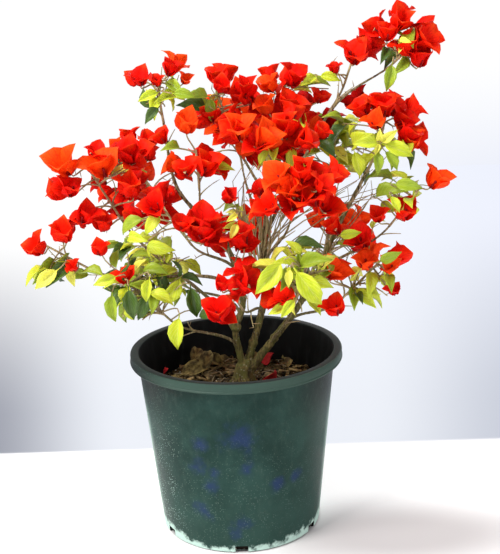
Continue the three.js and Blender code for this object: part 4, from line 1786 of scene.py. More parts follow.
@dataclass
class Wood:
    """The trunk, its three stems and the boughs, with the relief of their bark."""

    limbs: dict[str, Limb]
    trunk_foot: tuple[float, float, float] = (7, 0, 168.3)
    trunk_top: tuple[float, float, float] = (12, -1, 203)
    foot_radius: float = 17.0
    waist_radius: float = 11.0
    crest_radius: float = 7.0
    buttresses: int = 5
    buttress_share: float = 0.26
    trunk_rows: int = 12
    trunk_sides: int = 40
    stem_voxel: float = 0.8 * MM
    bough_voxel: float = 1.1 * MM
    old_bark: Bark = Bark(
        "old_bark", (0.165, 0.128, 0.044), (0.050, 0.036, 0.018), (0.115, 0.115, 0.030), 0.75
    )
    young_bark: Bark = Bark("bough_bark", (0.24, 0.18, 0.095), (0.10, 0.070, 0.038), (0.18, 0.18, 0.06), 0.4)
    knots: tuple[tuple[str, float, float], ...] = (
        ("left_stem", 0.19, 1.5), ("left_stem", 0.30, 1.25), ("middle_stem", 0.15, 1.2),
        ("middle_stem", 0.42, 1.35), ("right_stem", 0.2, 1.18), ("right_stem", 0.42, 1.3),
        ("left_stem", 0.5, 1.3), ("middle_stem", 0.66, 1.3),
    )

    def trunk_radius(self, share: float, angle: float) -> float:
        """Gives the trunk's girth, flared and buttressed at its foot and drawn in at its fork.

        Args:
            share: the share of its height.
            angle: the angle round it.

        Returns:
            The radius in millimetres.
        """
        flare = (1 - share) ** 3
        late = min(1.0, max(0.0, (share - 0.7) / 0.3))
        crest = late * late * (3 - 2 * late)
        buttress = 1 + self.buttress_share * flare * math.cos(self.buttresses * angle)
        stout = self.waist_radius + (self.foot_radius - self.waist_radius) * flare
        return (stout + (self.crest_radius - self.waist_radius) * crest) * buttress

    def model_trunk(self) -> Object:
        """Models the trunk: a disc extruded upwards in rows, then drawn in and buttressed.

        Returns:
            The trunk.
        """
        foot, top = np.array(self.trunk_foot), np.array(self.trunk_top)
        axis = bezier(foot, foot + UP * (top[2] - foot[2]) / 2, top)
        trunk = add_disc(self.foot_radius * MM, self.trunk_sides, tuple(foot * MM))
        with edit_all():
            for low, high in pairwise(axis.points(self.trunk_rows + 1)):
                bpy.ops.mesh.extrude_region_move(TRANSFORM_OT_translate={"value": tuple((high - low) * MM)})
        settle(trunk)
        recalculate_normals(trunk)
        points = mesh_points(trunk)
        for row in points:
            share = min(1.0, max(0.0, (row[2] / MM - foot[2]) / (top[2] - foot[2])))
            middle = axis.at(share) * MM
            angle = math.atan2(row[1] - middle[1], row[0] - middle[0])
            radius = self.trunk_radius(share, angle) * MM
            row[:2] = middle[:2] + radius * np.array([math.cos(angle), math.sin(angle)])
        move_points(trunk, points)
        return trunk

    def model_limb(self, limb: Limb) -> Object:
        """Models a limb as a bevelled curve with a slightly uneven girth, turned into a mesh.

        Args:
            limb: the limb.

        Returns:
            The mesh.
        """
        rows = max(12, int(limb.path.length / 6))
        curve = bpy.data.curves.new(limb.name + "_line", "CURVE")
        curve.dimensions = "3D"
        curve.bevel_depth = 1.0
        curve.bevel_resolution = 3
        curve.use_fill_caps = True
        line = curve.splines.new("POLY")
        line.points.add(rows - 1)
        for index, share in enumerate(np.linspace(0, 1, rows)):
            place = limb.path.point(share)
            girth = limb.foot + (limb.tip - limb.foot) * share**0.8
            uneven = 1 + 0.09 * noise.noise(Vector(place * 0.07)) + 0.05 * noise.noise(Vector(place * 0.22))
            line.points[index].co = (*(place * MM), 1)
            line.points[index].radius = girth * uneven * MM
        obj = bpy.data.objects.new(limb.name + "_wood", curve)
        bpy.context.scene.collection.objects.link(obj)
        pick_out(obj)
        bpy.ops.object.convert(target="MESH")
        return bpy.context.object

    def model_knots(self) -> list[Object]:
        """Models the swellings at old cuts and forks.

        Returns:
            One ball for each.
        """
        knots = []
        for name, share, swell in self.knots:
            limb = self.limbs[name]
            radius = (limb.foot + (limb.tip - limb.foot) * share) * swell * MM
            start_clean()
            bpy.ops.mesh.primitive_uv_sphere_add(
                segments=16, ring_count=10, radius=radius, location=tuple(limb.path.point(share) * MM)
            )
            settle(bpy.context.object)
            knots.append(bpy.context.object)
        return knots

    def rough_up(self, wood: Object, voxel: float, depth: float) -> None:
        """Melts joined wood into one skin and gives it lumps and long ridges.

        Args:
            wood: the joined tubes.
            voxel: how fine the skin is, in metres.
            depth: how far its ridges stand out, in metres.
        """
        add_modifier(wood, "REMESH", mode="VOXEL", voxel_size=voxel)
        add_modifier(wood, "SMOOTH", factor=0.5, iterations=4)
        lumps = bpy.data.textures.new("bark_lumps", "CLOUDS")
        lumps.noise_scale = 0.011
        add_modifier(wood, "DISPLACE", texture=lumps, strength=depth * 1.6, mid_level=0.5)
        ridges = bpy.data.textures.new("bark_ridges", "CLOUDS")
        ridges.noise_scale = 0.0028
        ridges.noise_depth = 2
        add_modifier(wood, "DISPLACE", texture=ridges, strength=depth, mid_level=0.5)
        smooth(wood)

    def build(self, effects: Effects) -> None:
        """Models and dresses the wood.

        Args:
            effects: the shared shader patterns.
        """
        stems = [name for name in self.limbs if name.endswith("_stem")]
        boughs = [name for name in self.limbs if name not in stems]
        limbs = [self.model_limb(self.limbs[name]) for name in stems]
        old = joined([self.model_trunk(), *limbs, *self.model_knots()], "trunk_and_stems")
        self.rough_up(old, self.stem_voxel, 0.9 * MM)
        self.flatten_foot(old)
        finish_piece(old, Slot.BARK, ["trunk", *stems], self.old_bark.make(effects))
        young = joined([self.model_limb(self.limbs[name]) for name in boughs], "boughs")
        self.rough_up(young, self.bough_voxel, 0.35 * MM)
        finish_piece(young, Slot.BARK, boughs, self.young_bark.make(effects))

    def flatten_foot(self, wood: Object) -> None:
        """Keeps the trunk's foot on the level of the mix.

        Args:
            wood: the trunk and stems.
        """
        points = mesh_points(wood)
        points[:, 2] = np.maximum(points[:, 2], (self.trunk_foot[2] - 0.6) * MM)
        move_points(wood, points)


@dataclass(frozen=True)
class BladeShape:
    """The outline and the bends of a leaf or a bract, in shares of its length."""

    stations: tuple[float, ...]
    half_widths: tuple[float, ...]
    columns: int
    rise: tuple[float, float]
    fold: float
    wave: float
    waves: float
    phase: float
    thickness: float
    crumple: float = 0.0
    cup: float = 1.0

    def model(self) -> Pattern:
        """Models the blade: a grid drawn to its outline, bent, waved and given its thickness.

        Returns:
            Its arrays, one unit long from the origin along +X.
        """
        start_clean()
        rows = len(self.stations) - 1
        bpy.ops.mesh.primitive_grid_add(x_subdivisions=rows, y_subdivisions=self.columns, size=1)
        blade = bpy.context.object
        points = mesh_points(blade)
        spots = np.linspace(0, 1, rows + 1)
        along = np.interp(points[:, 0] + 0.5, spots, self.stations)
        across = points[:, 1] * 2
        half = np.interp(along, self.stations, self.half_widths)
        fine = np.linspace(0, 1, 101)
        angles = np.radians(self.rise[0] + (self.rise[1] - self.rise[0]) * fine)
        mid_x = np.concatenate([[0], np.cumsum(np.cos(angles[:-1]) * 0.01)])
        mid_z = np.concatenate([[0], np.cumsum(np.sin(angles[:-1]) * 0.01)])
        ruffle = self.wave * np.sin(TURN * self.waves * along + self.phase) * across * np.abs(across)
        ruffle += self.wave * 0.5 * np.cos(TURN * self.waves * 1.7 * along + self.phase) * np.abs(across)
        ruffle += np.array([
            self.crumple * noise.noise(Vector((a * 3.4, b * 1.9, self.phase))) for a, b in zip(along, across)
        ])
        lift = (self.fold * np.abs(across) ** self.cup + ruffle) * half / max(self.half_widths)
        tilt = np.interp(along, fine, angles)
        points[:, 0] = np.interp(along, fine, mid_x) - np.sin(tilt) * lift
        points[:, 1] = across * half * (1 - 0.25 * self.fold)
        points[:, 2] = np.interp(along, fine, mid_z) + np.cos(tilt) * lift
        move_points(blade, points)
        add_modifier(blade, "SOLIDIFY", thickness=self.thickness, offset=0)
        return Pattern.taken_from(blade)


LEAF_STATIONS = (0, 0.12, 0.18, 0.32, 0.48, 0.66, 0.84, 1)
LEAF_HALVES = (0.012, 0.014, 0.100, 0.200, 0.215, 0.162, 0.066, 0.003)
BRACT_STATIONS = (0, 0.08, 0.20, 0.36, 0.54, 0.72, 0.88, 1)
BRACT_HALVES = (0.09, 0.27, 0.385, 0.44, 0.42, 0.31, 0.135, 0.004)

LEAF_SHAPES = (
    BladeShape(LEAF_STATIONS, LEAF_HALVES, 4, (18, -34), 0.20, 0.030, 1.3, 0.4, 0.012, 0.05),
    BladeShape(LEAF_STATIONS, LEAF_HALVES, 4, (10, -38), 0.25, 0.045, 1.6, 2.1, 0.012, 0.06),
    BladeShape(LEAF_STATIONS, LEAF_HALVES, 4, (4, -66), 0.15, 0.038, 1.1, 4.0, 0.012, 0.05),
)
BRACT_SHAPES = (
    BladeShape(BRACT_STATIONS, BRACT_HALVES, 4, (84, 26), 0.20, 0.05, 1.3, 0.9, 0.013, 0.10, 2.0),
    BladeShape(BRACT_STATIONS, BRACT_HALVES, 4, (76, -2), 0.14, 0.06, 1.5, 2.6, 0.013, 0.12, 2.0),
    BladeShape(BRACT_STATIONS, BRACT_HALVES, 4, (86, 48), 0.22, 0.05, 1.1, 4.4, 0.013, 0.09, 2.0),
    BladeShape(BRACT_STATIONS, BRACT_HALVES, 4, (80, 14), 0.17, 0.06, 1.4, 5.7, 0.013, 0.12, 2.0),
)


# The first number of the draws of shorter shoots, inner twigs, side twigs, sprays and tufts
SHORT_KEYS, INNER_KEYS, SIDE_KEYS, SPRAY_KEYS, TUFT_KEYS = 100, 700, 1000, 2000, 5000


@dataclass
class Crown:
    """The twigs, leaves and blooms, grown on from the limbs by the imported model's rule."""

    limbs: dict[str, Limb]
    masses: list[Mass]
    bract_length: float = 31.0
    bloom_scale: float = 0.9
    single_bloom: float = 16.0
    leaf_spacing: float = 13.0
    tuft_area: float = 600.0
    bract_lift: float = 0.45
    leaf_length: float = 40.0
    shoots_per_square_cm: float = 0.054
    highest: float = 0.86
    lowest: float = 0.14
    most_forward: float = 0.8
    most_backward: float = -0.72
    length_shares: tuple[float, ...] = (1, 0.86, 0.72, 0.58, 0.44)
    tip_inset: float = 20.0
    stem_tip: float = 1.2
    bloom_spacing: float = 21.0
    spray_spacing: float = 12.0
    spray_inset: float = 12.0
    leaves_in_red: float = 0.09
    most_beyond: tuple[float, float, float] = (6.0, 5.0, 12.0)
    nearest_leaf: float = -128.0
    leaf_clearance: float = 10.0
    tuft_clearance: float = 13.0
    side_clearance: float = 20.0
    tuft_spread: float = 0.86
    bulge: float = 0.74
    second_row: float = 17.0
    thorned: float = 0.3
    opened: float = 0.06
    broom_twigs: int = 22
    fan_twigs: int = 10
    side_twigs: int = 2
    front: FrontView = field(default_factory=FrontView)
    blooms: list[Array] = field(default_factory=list)
    leaf_middles: list[Array] = field(default_factory=list)
    leaf_patterns: list[Pattern] = field(default_factory=list)
    bract_patterns: list[Pattern] = field(default_factory=list)

    def __post_init__(self) -> None:
        """Starts the joined pieces, one for each kind and tint."""
        self.leaf_patterns = [shape.model() for shape in LEAF_SHAPES]
        self.bract_patterns = [shape.model() for shape in BRACT_SHAPES]
        self.tube_pattern = self.model_tube()
        self.star_pattern = self.model_star()
        self.bracts = {tint: Gathering("bracts_" + tint.value) for tint in Redness}
        self.leaves = {tint: Gathering("leaves_" + tint.value) for tint in Greenness}
        self.twigs = Gathering("twigs")
        self.green_twigs = Gathering("young_twigs")
        self.thorns = Gathering("thorns")
        self.tubes = Gathering("flower_tubes")
        self.stars = Gathering("flower_mouths")

    def model_tube(self) -> Pattern:
        """Models a flower's slim tube.

        Returns:
            Its arrays, a unit long.
        """
        rings = ((0.07, 0), (0.11, 0.22), (0.075, 0.6), (0.12, 0.92), (0.05, 1.0))
        tube = add_disc(rings[0][0], 5)
        with edit_all():
            extrude_rings(rings)
        recalculate_normals(tube)
        return Pattern.taken_from(tube)

    def model_star(self) -> Pattern:
        """Models the small pale mouth of an open flower.

        Returns:
            Its arrays, a unit across.
        """
        star = add_disc(0.5, 10, fill="TRIFAN")
        points = mesh_points(star)
        for row in points:
            is_notch = round(math.atan2(row[1], row[0]) / TURN * 10) % 2
            row *= 0.55 if is_notch else 1.0
            row[2] += 0.12 if np.hypot(row[0], row[1]) > 0.1 else 0.0
        move_points(star, points)
        add_modifier(star, "SOLIDIFY", thickness=0.08, offset=0)
        return Pattern.taken_from(star)

    def stem_path(self, limb: Limb) -> Path:
        """Gives the line of a mass's stem, which carries on from its limb's tip.

        Args:
            limb: the limb.

        Returns:
            The line.
        """
        mass, arrive = limb.mass, limb.arrive
        heading = limb.path.tangent(1)
        foot = limb.path.point(1) - heading * 1.5
        end = mass.centre + arrive * max(2.0, mass.reach_along(arrive) - self.bract_length)
        return bezier(foot, foot + heading * np.linalg.norm(end - foot) / 2, end)

    def shoot_places(self, limb: Limb, part: int) -> Iterator[tuple[int, float, Array]]:
        """Gives where each shoot leaves a mass's stem, and which way it points.

        Args:
            limb: the limb that carries the mass.
            part: 0 for the rule's own shoots, 1 for the shorter ones between them.

        Yields:
            The shoot's index, its share of the way along the stem, and its direction.
        """
        mass, arrive = limb.mass, limb.arrive
        outside = 4 * math.pi * float(np.prod(mass.reach)) ** (2 / 3) / 100
        count = round(outside * self.shoots_per_square_cm)
        aside = unit(np.cross(np.array([0.0, 1.0, 0.0]), arrive))
        for index in range(count):
            down = (index + 0.5) / count
            lean = self.most_forward + (self.most_backward - self.most_forward) * down
            angle = (index + part * 0.5) * GOLDEN_ANGLE + TURN * chance(mass.seed, 1)
            way = turned(aside, arrive, angle) * math.sqrt(1 - lean * lean) + arrive * lean
            yield index, self.highest + (self.lowest - self.highest) * down, way

    def is_open(self, mass: Mass, point: Array, margin: float) -> bool:
        """Says whether a point is inside a mass's own space and nearer to it than to any other."""
        own = mass.share(point)
        return own <= margin and all(other is mass or other.share(point) > own for other in self.masses)

    def has_room(self, point: Array, spacing: float) -> bool:
        """Says whether no earlier bloom is nearer than a spacing."""
        return nearest_gap(self.blooms, point) >= spacing

    def is_free_of_leaves(self, point: Array) -> bool:
        """Says whether no earlier leaf is close by, least of all beside it as seen from the front."""
        return nearest_gap(self.leaf_middles, point, (1.0, 0.45, 1.0)) >= self.leaf_spacing

    def is_within(self, point: Array, margin: float = 0.0) -> bool:
        """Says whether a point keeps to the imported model's own box, give or take a little.

        Args:
            point: the point in millimetres.
            margin: how far inside that little it stays.

        Returns:
            Whether it does.
        """
        low, high = (np.array(tuple(corner)) / MM for corner in CAD_BOX)
        beyond = np.array(self.most_beyond) - margin
        return bool(np.all(point > low - beyond) and np.all(point < high + beyond))

    def red_tint(self, mass: Mass, index: int, facing: Array) -> Redness:
        """Deals a bloom its tint: brighter where it faces the light, deeper in two shaded masses.

        Args:
            mass: the mass that it belongs to.
            index: the bloom's number.
            facing: where it opens to.

        Returns:
            The tint.
        """
        draw = chance(mass.seed, 21, index) - 0.12 * (facing[2] - 0.5)
        if mass.name in ("inner_left", "low_front"):
            draw = 0.6 + 0.4 * draw
        if draw < 0.20:
            return Redness.ORANGE
        if draw < 0.62:
            return Redness.SCARLET
        return Redness.DEEP if draw > 0.92 and index < SPRAY_KEYS else Redness.CRIMSON

    def green_tint(self, mass: Mass, index: int, order: int) -> Greenness:
        """Deals a leaf its tint: young ones near a shoot's tip are lime, and low left ones darker.

        Args:
            mass: the mass that it belongs to.
            index: the shoot's number.
            order: the leaf's own.

        Returns:
            The tint.
        """
        draw = chance(mass.seed, 22, index, order) + 0.08 * order
        if mass.name == "low_left" and draw > 0.3:
            draw += 0.2
        if draw < 0.46:
            return Greenness.LIME
        if draw < 0.62:
            return Greenness.YELLOW
        return Greenness.MIDDLE if draw < 0.94 else Greenness.DARK

    def add_bloom(self, mass: Mass, index: int, place: Array, facing: Array, size: float) -> None:
        """Adds three bracts round a centre, with their slim flower tubes.

        Args:
            mass: the mass that it belongs to.
            index: the bloom's number.
            place: the bloom's foot.
            facing: where it opens to.
            size: its size beside a bloom of the usual size.
        """
        reach = self.bract_length * self.bloom_scale * size
        for _ in range(3):
            if not self.is_within(place + facing * reach * 0.6, reach * 0.5):
                place = place + unit(mass.centre - place) * reach * 0.25
        self.blooms.append(place)
        tint = self.red_tint(mass, index, facing)
        spin = TURN * chance(mass.seed, 6, index)
        kind = int(4 * chance(mass.seed, 23, index)) % 4
        for part in range(3):
            turn = basis(facing, spin + part * TURN / 3 + between(-0.16, 0.16, mass.seed, 24, index, part))
            length = reach * between(0.9, 1.08, mass.seed, 25, index, part)
            pattern = self.bract_patterns[kind if part else (kind + 1) % 4]
            self.bracts[tint].add(pattern, turn * length, place + turn[:, 0] * 1.6)
            lean = unit(turn[:, 2] + turn[:, 0] * 0.28)
            tube = basis(lean) * between(9, 13, mass.seed, 26, index, part) * size
            self.tubes.add(self.tube_pattern, tube, place + turn[:, 0] * 2.4)
            if chance(mass.seed, 27, index, part) < self.opened:
                tip = place + turn[:, 0] * 2.4 + tube[:, 2]
                self.stars.add(self.star_pattern, basis(lean) * 4.5 * size, tip)

    def add_leaf(self, mass: Mass, keys: tuple[int, int], place: Array, axis: Array,
                 length: float, tint: Greenness) -> None:
        """Adds one leaf unless it would leave the mass's reach or cut a bloom.

        Args:
            mass: the mass that it belongs to.
            keys: the shoot's number and the leaf's own.
            place: its stalk's foot.
            axis: where it points.
            length: its length in millimetres.
            tint: its green.
        """
        way = unit(axis)
        tip, middle = place + way * length, place + way * length * 0.6
        if mass.share(tip) > 1.25 or not self.is_within(tip) or not self.is_free_of_leaves(middle):
            return
        if not self.has_room(middle, self.leaf_clearance) or not self.shows_leaf(mass, keys, middle, tip):
            return
        self.leaf_middles.append(middle)
        aside, ahead = between(-0.5, 0.5, mass.seed, 31, *keys), between(-0.4, 0.4, mass.seed, 32, *keys)
        roll = np.array([aside, ahead, 0])
        facing = UP * 0.6 + unit(middle - mass.centre) * 0.5 + FORWARD * 0.45 + roll
        pattern = self.leaf_patterns[int(3 * chance(mass.seed, 33, *keys)) % 3]
        self.leaves[tint].add(pattern, blade_frame(axis, facing) * length, place)

    def shows_leaf(self, mass: Mass, keys: tuple[int, int], middle: Array, tip: Array) -> bool:
        """Says whether a leaf keeps clear of the sky between the crown's parts, and mostly of the sprays.

        Args:
            mass: the mass that it belongs to.
            keys: the shoot's number and the leaf's own.
            middle: its middle.
            tip: its tip.

        Returns:
            Whether it does.
        """
        if self.front.is_green(middle, 1.05) and self.front.is_green(tip, 1.5):
            return True
        return self.front.is_red(tip) and chance(mass.seed, 37, *keys) < self.leaves_in_red

    def add_leaves(self, mass: Mass, index: int, path: Path, count: int, shares: tuple[float, float],
                   size: float) -> None:
        """Adds leaves up a shoot, turning round it by the golden angle, and a thorn at some.

        Args:
            mass: the mass that they belong to.
            index: the shoot's number.
            path: the shoot's line.
            count: how many leaves.
            shares: the first and last one's share of the way along.
            size: their size beside the usual leaf's.
        """
        for order in range(count):
            share = shares[0] + (shares[1] - shares[0]) * order / max(1, count - 1)
            place, along = path.point(share), path.tangent(share)
            side = sideways(along, order * GOLDEN_ANGLE + TURN * chance(mass.seed, 2, index))
            droop = UP * between(0.0, 0.5, mass.seed, 34, index, order)
            axis = unit(side + along * 0.7 + unit(place - mass.centre) * 0.5 - droop)
            length = self.leaf_length * size * between(0.66, 1.15, mass.seed, 3, index, order)
            self.add_leaf(mass, (index, order), place, axis, length, self.green_tint(mass, index, order % 4))
            if chance(mass.seed, 35, index, order) < self.thorned:
                spike = place + unit(along * 0.4 - side) * between(5, 10, mass.seed, 36, index, order)
                spine = np.array([place, place * 0.45 + spike * 0.55, spike])
                self.thorns.add_tube(spine, np.array([0.55, 0.4, 0.08]), 4)

    def add_shoot(self, limb: Limb, stem: Path, index: int, along: float, way: Array,
                  part: int) -> None:
        """Adds one shoot with its head, its leaves and its finer side twigs.

        Args:
            limb: the limb whose mass it belongs to.
            stem: the mass's stem.
            index: the shoot's number in its mass.
            along: its share of the way along the stem.
            way: where it points from the middle of the mass.
            part: 0 for the rule's own shoots, 1 for the shorter ones between them.
        """
        mass = limb.mass
        start = stem.point(along)
        key = index + SHORT_KEYS * part
        furthest = (mass.reach_along(way) - self.tip_inset) * (1 if part == 0 else 0.78)
        is_bloom = chance(mass.seed, 5, key) < mass.bloom
        spacing = self.bloom_spacing if is_bloom else 12.0
        grown = 1.05 if mass.centre[1] > 60 else 0.4
        for share in self.length_shares:
            tip = mass.centre + way * furthest * share
            shows = self.front.is_red(tip, grown) or (not is_bloom and self.front.is_green(tip, 1.05))
            if shows and self.is_open(mass, tip, 0.98) and self.has_room(tip, spacing):
                break
        else:
            return
        span = float(np.linalg.norm(tip - start))
        bend = start + unit(stem.tangent(along) * 0.7 + unit(tip - start)) * span * 0.45
        path = bezier(start, bend, tip)
        self.twigs.add_twig(path, 6, 1.15, 0.7, 5)
        if is_bloom:
            facing = unit(way + UP * self.bract_lift)
            self.add_bloom(mass, key, tip, facing, between(0.85, 1.1, mass.seed, 4, key))
        else:
            axis, tint = path.tangent(1), self.green_tint(mass, key, 0)
            self.add_leaf(mass, (key, 9), tip - axis * 2, axis, self.leaf_length, tint)
        self.add_leaves(mass, key, path, 4 if part == 0 else 3, (0.3, 0.94), 1.0)
        self.add_side_twigs(mass, key, path)

    def front_depth(self, mass: Mass, x: float, z: float) -> float:
        """Gives how deep the front of a mass lies behind a place on the plane Y = 0.

        Args:
            mass: the mass.
            x: the place's X.
            z: its Z.

        Returns:
            The depth, as a Y.
        """
        spot = self.front.at_depth(x, z, mass.centre[1] - mass.reach[1] * 0.5)
        off = (spot - mass.centre) / mass.reach
        bulge = math.sqrt(max(0.06, 1 - off[0] ** 2 - off[2] ** 2))
        return float(mass.centre[1] - mass.reach[1] * self.bulge * bulge)

    def add_carried_twig(self, limb: Limb, stem: Path, tip: Array, facing: Array,
                         foot: float) -> Path:
        """Adds a twig from the nearest of a mass's stem to a place.

        Args:
            limb: the limb whose mass it belongs to.
            stem: the mass's stem.
            tip: where it ends.
            facing: the direction in which it arrives.
            foot: its radius at its foot.

        Returns:
            The twig's line.
        """
        shares = np.linspace(0.02, 0.92, 10)
        start = min((stem.point(share) for share in shares), key=lambda point: np.linalg.norm(point - tip))
        if np.linalg.norm(start - tip) > 1.3 * float(np.max(limb.mass.reach)):
            start = limb.path.point(0.9)
        span = float(np.linalg.norm(tip - start))
        leaving = start + unit(tip - start) * span * 0.4 + UP * 3
        path = bezier(start, leaving, tip - facing * min(12, span * 0.3), tip)
        self.twigs.add_twig(path, 7, foot, 0.7, 5)
        return path

    def add_spray(self, number: int, spray: Spray, limb: Limb, stem: Path) -> None:
        """Adds one spray of blooms to the front of its mass.

        Args:
            number: the spray's number.
            spray: its place, size and count.
            limb: the limb whose mass carries it.
            stem: the mass's stem.
        """
        mass = limb.mass
        wide = max(0.0, spray.half_width - self.spray_inset)
        high = max(0.0, spray.half_height - self.spray_inset)
        fitted = (spray.half_width + spray.half_height) / 2 / self.single_bloom
        for index in range(spray.blooms):
            key = SPRAY_KEYS + number * 20 + index
            away = math.sqrt((index + 0.5) / spray.blooms) if spray.blooms > 1 else 0.0
            angle = index * GOLDEN_ANGLE + TURN * chance(61, number)
            x, z = spray.x + wide * away * math.cos(angle), spray.z + high * away * math.sin(angle)
            depth = self.front_depth(mass, x, z) + between(-9, 9, 62, number, index)
            off = (self.front.at_depth(x, z, depth) - mass.centre) / mass.reach
            spread = np.array([math.cos(angle) * away, 0.0, math.sin(angle) * away])
            sway = [between(-0.5, 0.5, 63, number, index), 0, between(-0.2, 0.4, 64, number, index)]
            facing = unit(np.array([0.35 * off[0], -0.42, 0.75]) + spread * 0.7 + sway)
            size = between(0.92, 1.12, 65, number, index)
            size *= min(1.25, max(0.55, fitted)) if spray.blooms == 1 else 1.1
            sunk = facing * self.bract_length * self.bloom_scale * size * 0.42
            place = self.front.at_depth(x, z, depth) - sunk
            if not self.has_room(place, self.spray_spacing):
                place = self.front.at_depth(x, z, depth + self.second_row) - sunk
            path = self.add_carried_twig(limb, stem, place, facing, 1.15)
            self.add_bloom(mass, key, place, facing, size)
            self.add_leaves(mass, key, path, 3, (0.45, 0.92), 0.9)

    def nearest_limb(self, x: float, z: float) -> Limb:
        """Gives the limb whose mass stands in front at a place on the plane Y = 0.

        Args:
            x: the place's X.
            z: its Z.

        Returns:
            The limb.
        """

        def away(limb: Limb) -> float:
            """Gives how far off the place is, in shares of the mass's reach, and more for one behind."""
            shown = self.front.at_depth(x, z, limb.mass.centre[1])
            return limb.mass.share(shown) + 0.006 * max(0.0, float(limb.mass.centre[1]) - 20)

        return min(self.limbs.values(), key=away)

    def add_tufts(self, number: int, patch: Patch, stems: dict[str, Path]) -> None:
        """Fills a leafy patch with small tufts of leaves on twigs of the nearest mass.

        Args:
            number: the patch's number.
            patch: its place and size.
            stems: each mass's stem by the name of its limb.
        """
        count = round(math.pi * patch.half_width * patch.half_height / self.tuft_area)
        for index in range(count):
            away = math.sqrt((index + 0.5) / count) * self.tuft_spread
            angle = index * GOLDEN_ANGLE + TURN * chance(71, number)
            x = patch.x + patch.half_width * away * math.cos(angle)
            z = patch.z + patch.half_height * away * math.sin(angle)
            limb = self.nearest_limb(x, z)
            mass = limb.mass
            depth = self.front_depth(mass, x, z) + between(0, 34, 72, number, index)
            tip = self.front.at_depth(x, z, depth)
            if not self.is_free_of_leaves(tip) or not self.has_room(tip, self.tuft_clearance):
                continue
            way = unit(tip - mass.centre)
            path = self.add_carried_twig(limb, stems[limb.name], tip, unit(way + FORWARD * 0.3), 0.95)
            key = TUFT_KEYS + number * 100 + index
            spin = TURN * chance(73, number, index)
            for order in range(3):
                turn = spin + order * TURN / 3
                axis = unit(np.array([math.cos(turn), -0.25, math.sin(turn) * 0.8 - 0.25]) + way * 0.5)
                length = self.leaf_length * between(0.7, 1.12, 74, key, order)
                tint = self.green_tint(mass, key, order)
                self.add_leaf(mass, (key, order), path.point(1 - 0.06 * order), axis, length, tint)

    def add_marked_leaf(self, number: int, leaf: MarkedLeaf, limb: Limb, stem: Path) -> None:
        """Adds one of the large leaves that show plainly, on a twig of its own.

        Args:
            number: the leaf's number.
            leaf: its foot, tip and tint.
            limb: the limb whose mass carries it.
            stem: the mass's stem.
        """
        depth = max(self.front_depth(limb.mass, *leaf.foot) - 17, self.nearest_leaf)
        foot = self.front.at_depth(*leaf.foot, depth)
        tip = self.front.at_depth(*leaf.tip, depth - 8)
        axis = unit(tip - foot)
        self.add_carried_twig(limb, stem, foot, axis, 1.0)
        length = float(np.linalg.norm(tip - foot))
        facing = np.array([between(-0.2, 0.2, 66, number), -1.0, 0.3])
        self.leaves[leaf.tint].add(self.leaf_patterns[number % 2], blade_frame(axis, facing) * length, foot)

    def add_side_twigs(self, mass: Mass, key: int, path: Path) -> None:
        """Adds the finer twigs of one shoot, each with a smaller bloom or a tuft of leaves.

        Args:
            mass: the mass that they belong to.
            key: the shoot's number.
            path: the shoot's line.
        """
        for order in range(self.side_twigs):
            share = 0.4 + 0.22 * order
            start, along = path.point(share), path.tangent(share)
            spin = order * GOLDEN_ANGLE * 1.5 + TURN * chance(mass.seed, 41, key)
            side = sideways(along, spin, UP + ACROSS * 0.2)
            heading = unit(side + along * 0.7 + UP * 0.2)
            tip = start + heading * between(15, 30, mass.seed, 42, key, order)
            number = SIDE_KEYS + key * 10 + order
            if not self.is_open(mass, tip, 0.92) or not (self.front.is_green(tip) or self.front.is_red(tip)):
                continue
            twig = bezier(start, start + along * 5 + heading * 5, tip)
            is_wanted = chance(mass.seed, 43, key, order) < mass.bloom * 0.5 and self.front.is_red(tip, 0.5)
            is_bloom = is_wanted and self.has_room(tip, self.side_clearance)
            self.green_twigs.add_twig(twig, 4, 0.7, 0.45, 4)
            if is_bloom:
                facing = unit(heading + unit(tip - mass.centre) + UP * self.bract_lift)
                self.add_bloom(mass, number, tip, facing, between(0.68, 0.95, mass.seed, 44, key, order))
            self.add_leaves(mass, number, twig, 2, (0.5, 0.98), 0.8)

    def grow(self) -> None:
        """Grows every mass: its leader first, then its shoots, then the shorter shoots between them."""
        stems = {}
        for limb in self.limbs.values():
            stems[limb.name] = self.stem_path(limb)
            self.twigs.add_twig(stems[limb.name], 8, limb.tip, self.stem_tip, 7)
        by_mass = {limb.mass.name: limb for limb in self.limbs.values()}
        for number, spray in enumerate(self.front.sprays):
            limb = by_mass[spray.mass]
            self.add_spray(number, spray, limb, stems[limb.name])
        for number, leaf in enumerate(MARKED_LEAVES):
            limb = by_mass[leaf.mass]
            self.add_marked_leaf(number, leaf, limb, stems[limb.name])
        for number, patch in enumerate(self.front.leafy):
            self.add_tufts(number, patch, stems)
        for part in (0, 1):
            for limb in self.limbs.values():
                for index, along, way in self.shoot_places(limb, part):
                    self.add_shoot(limb, stems[limb.name], index, along, way, part)
        self.grow_inner_twigs()

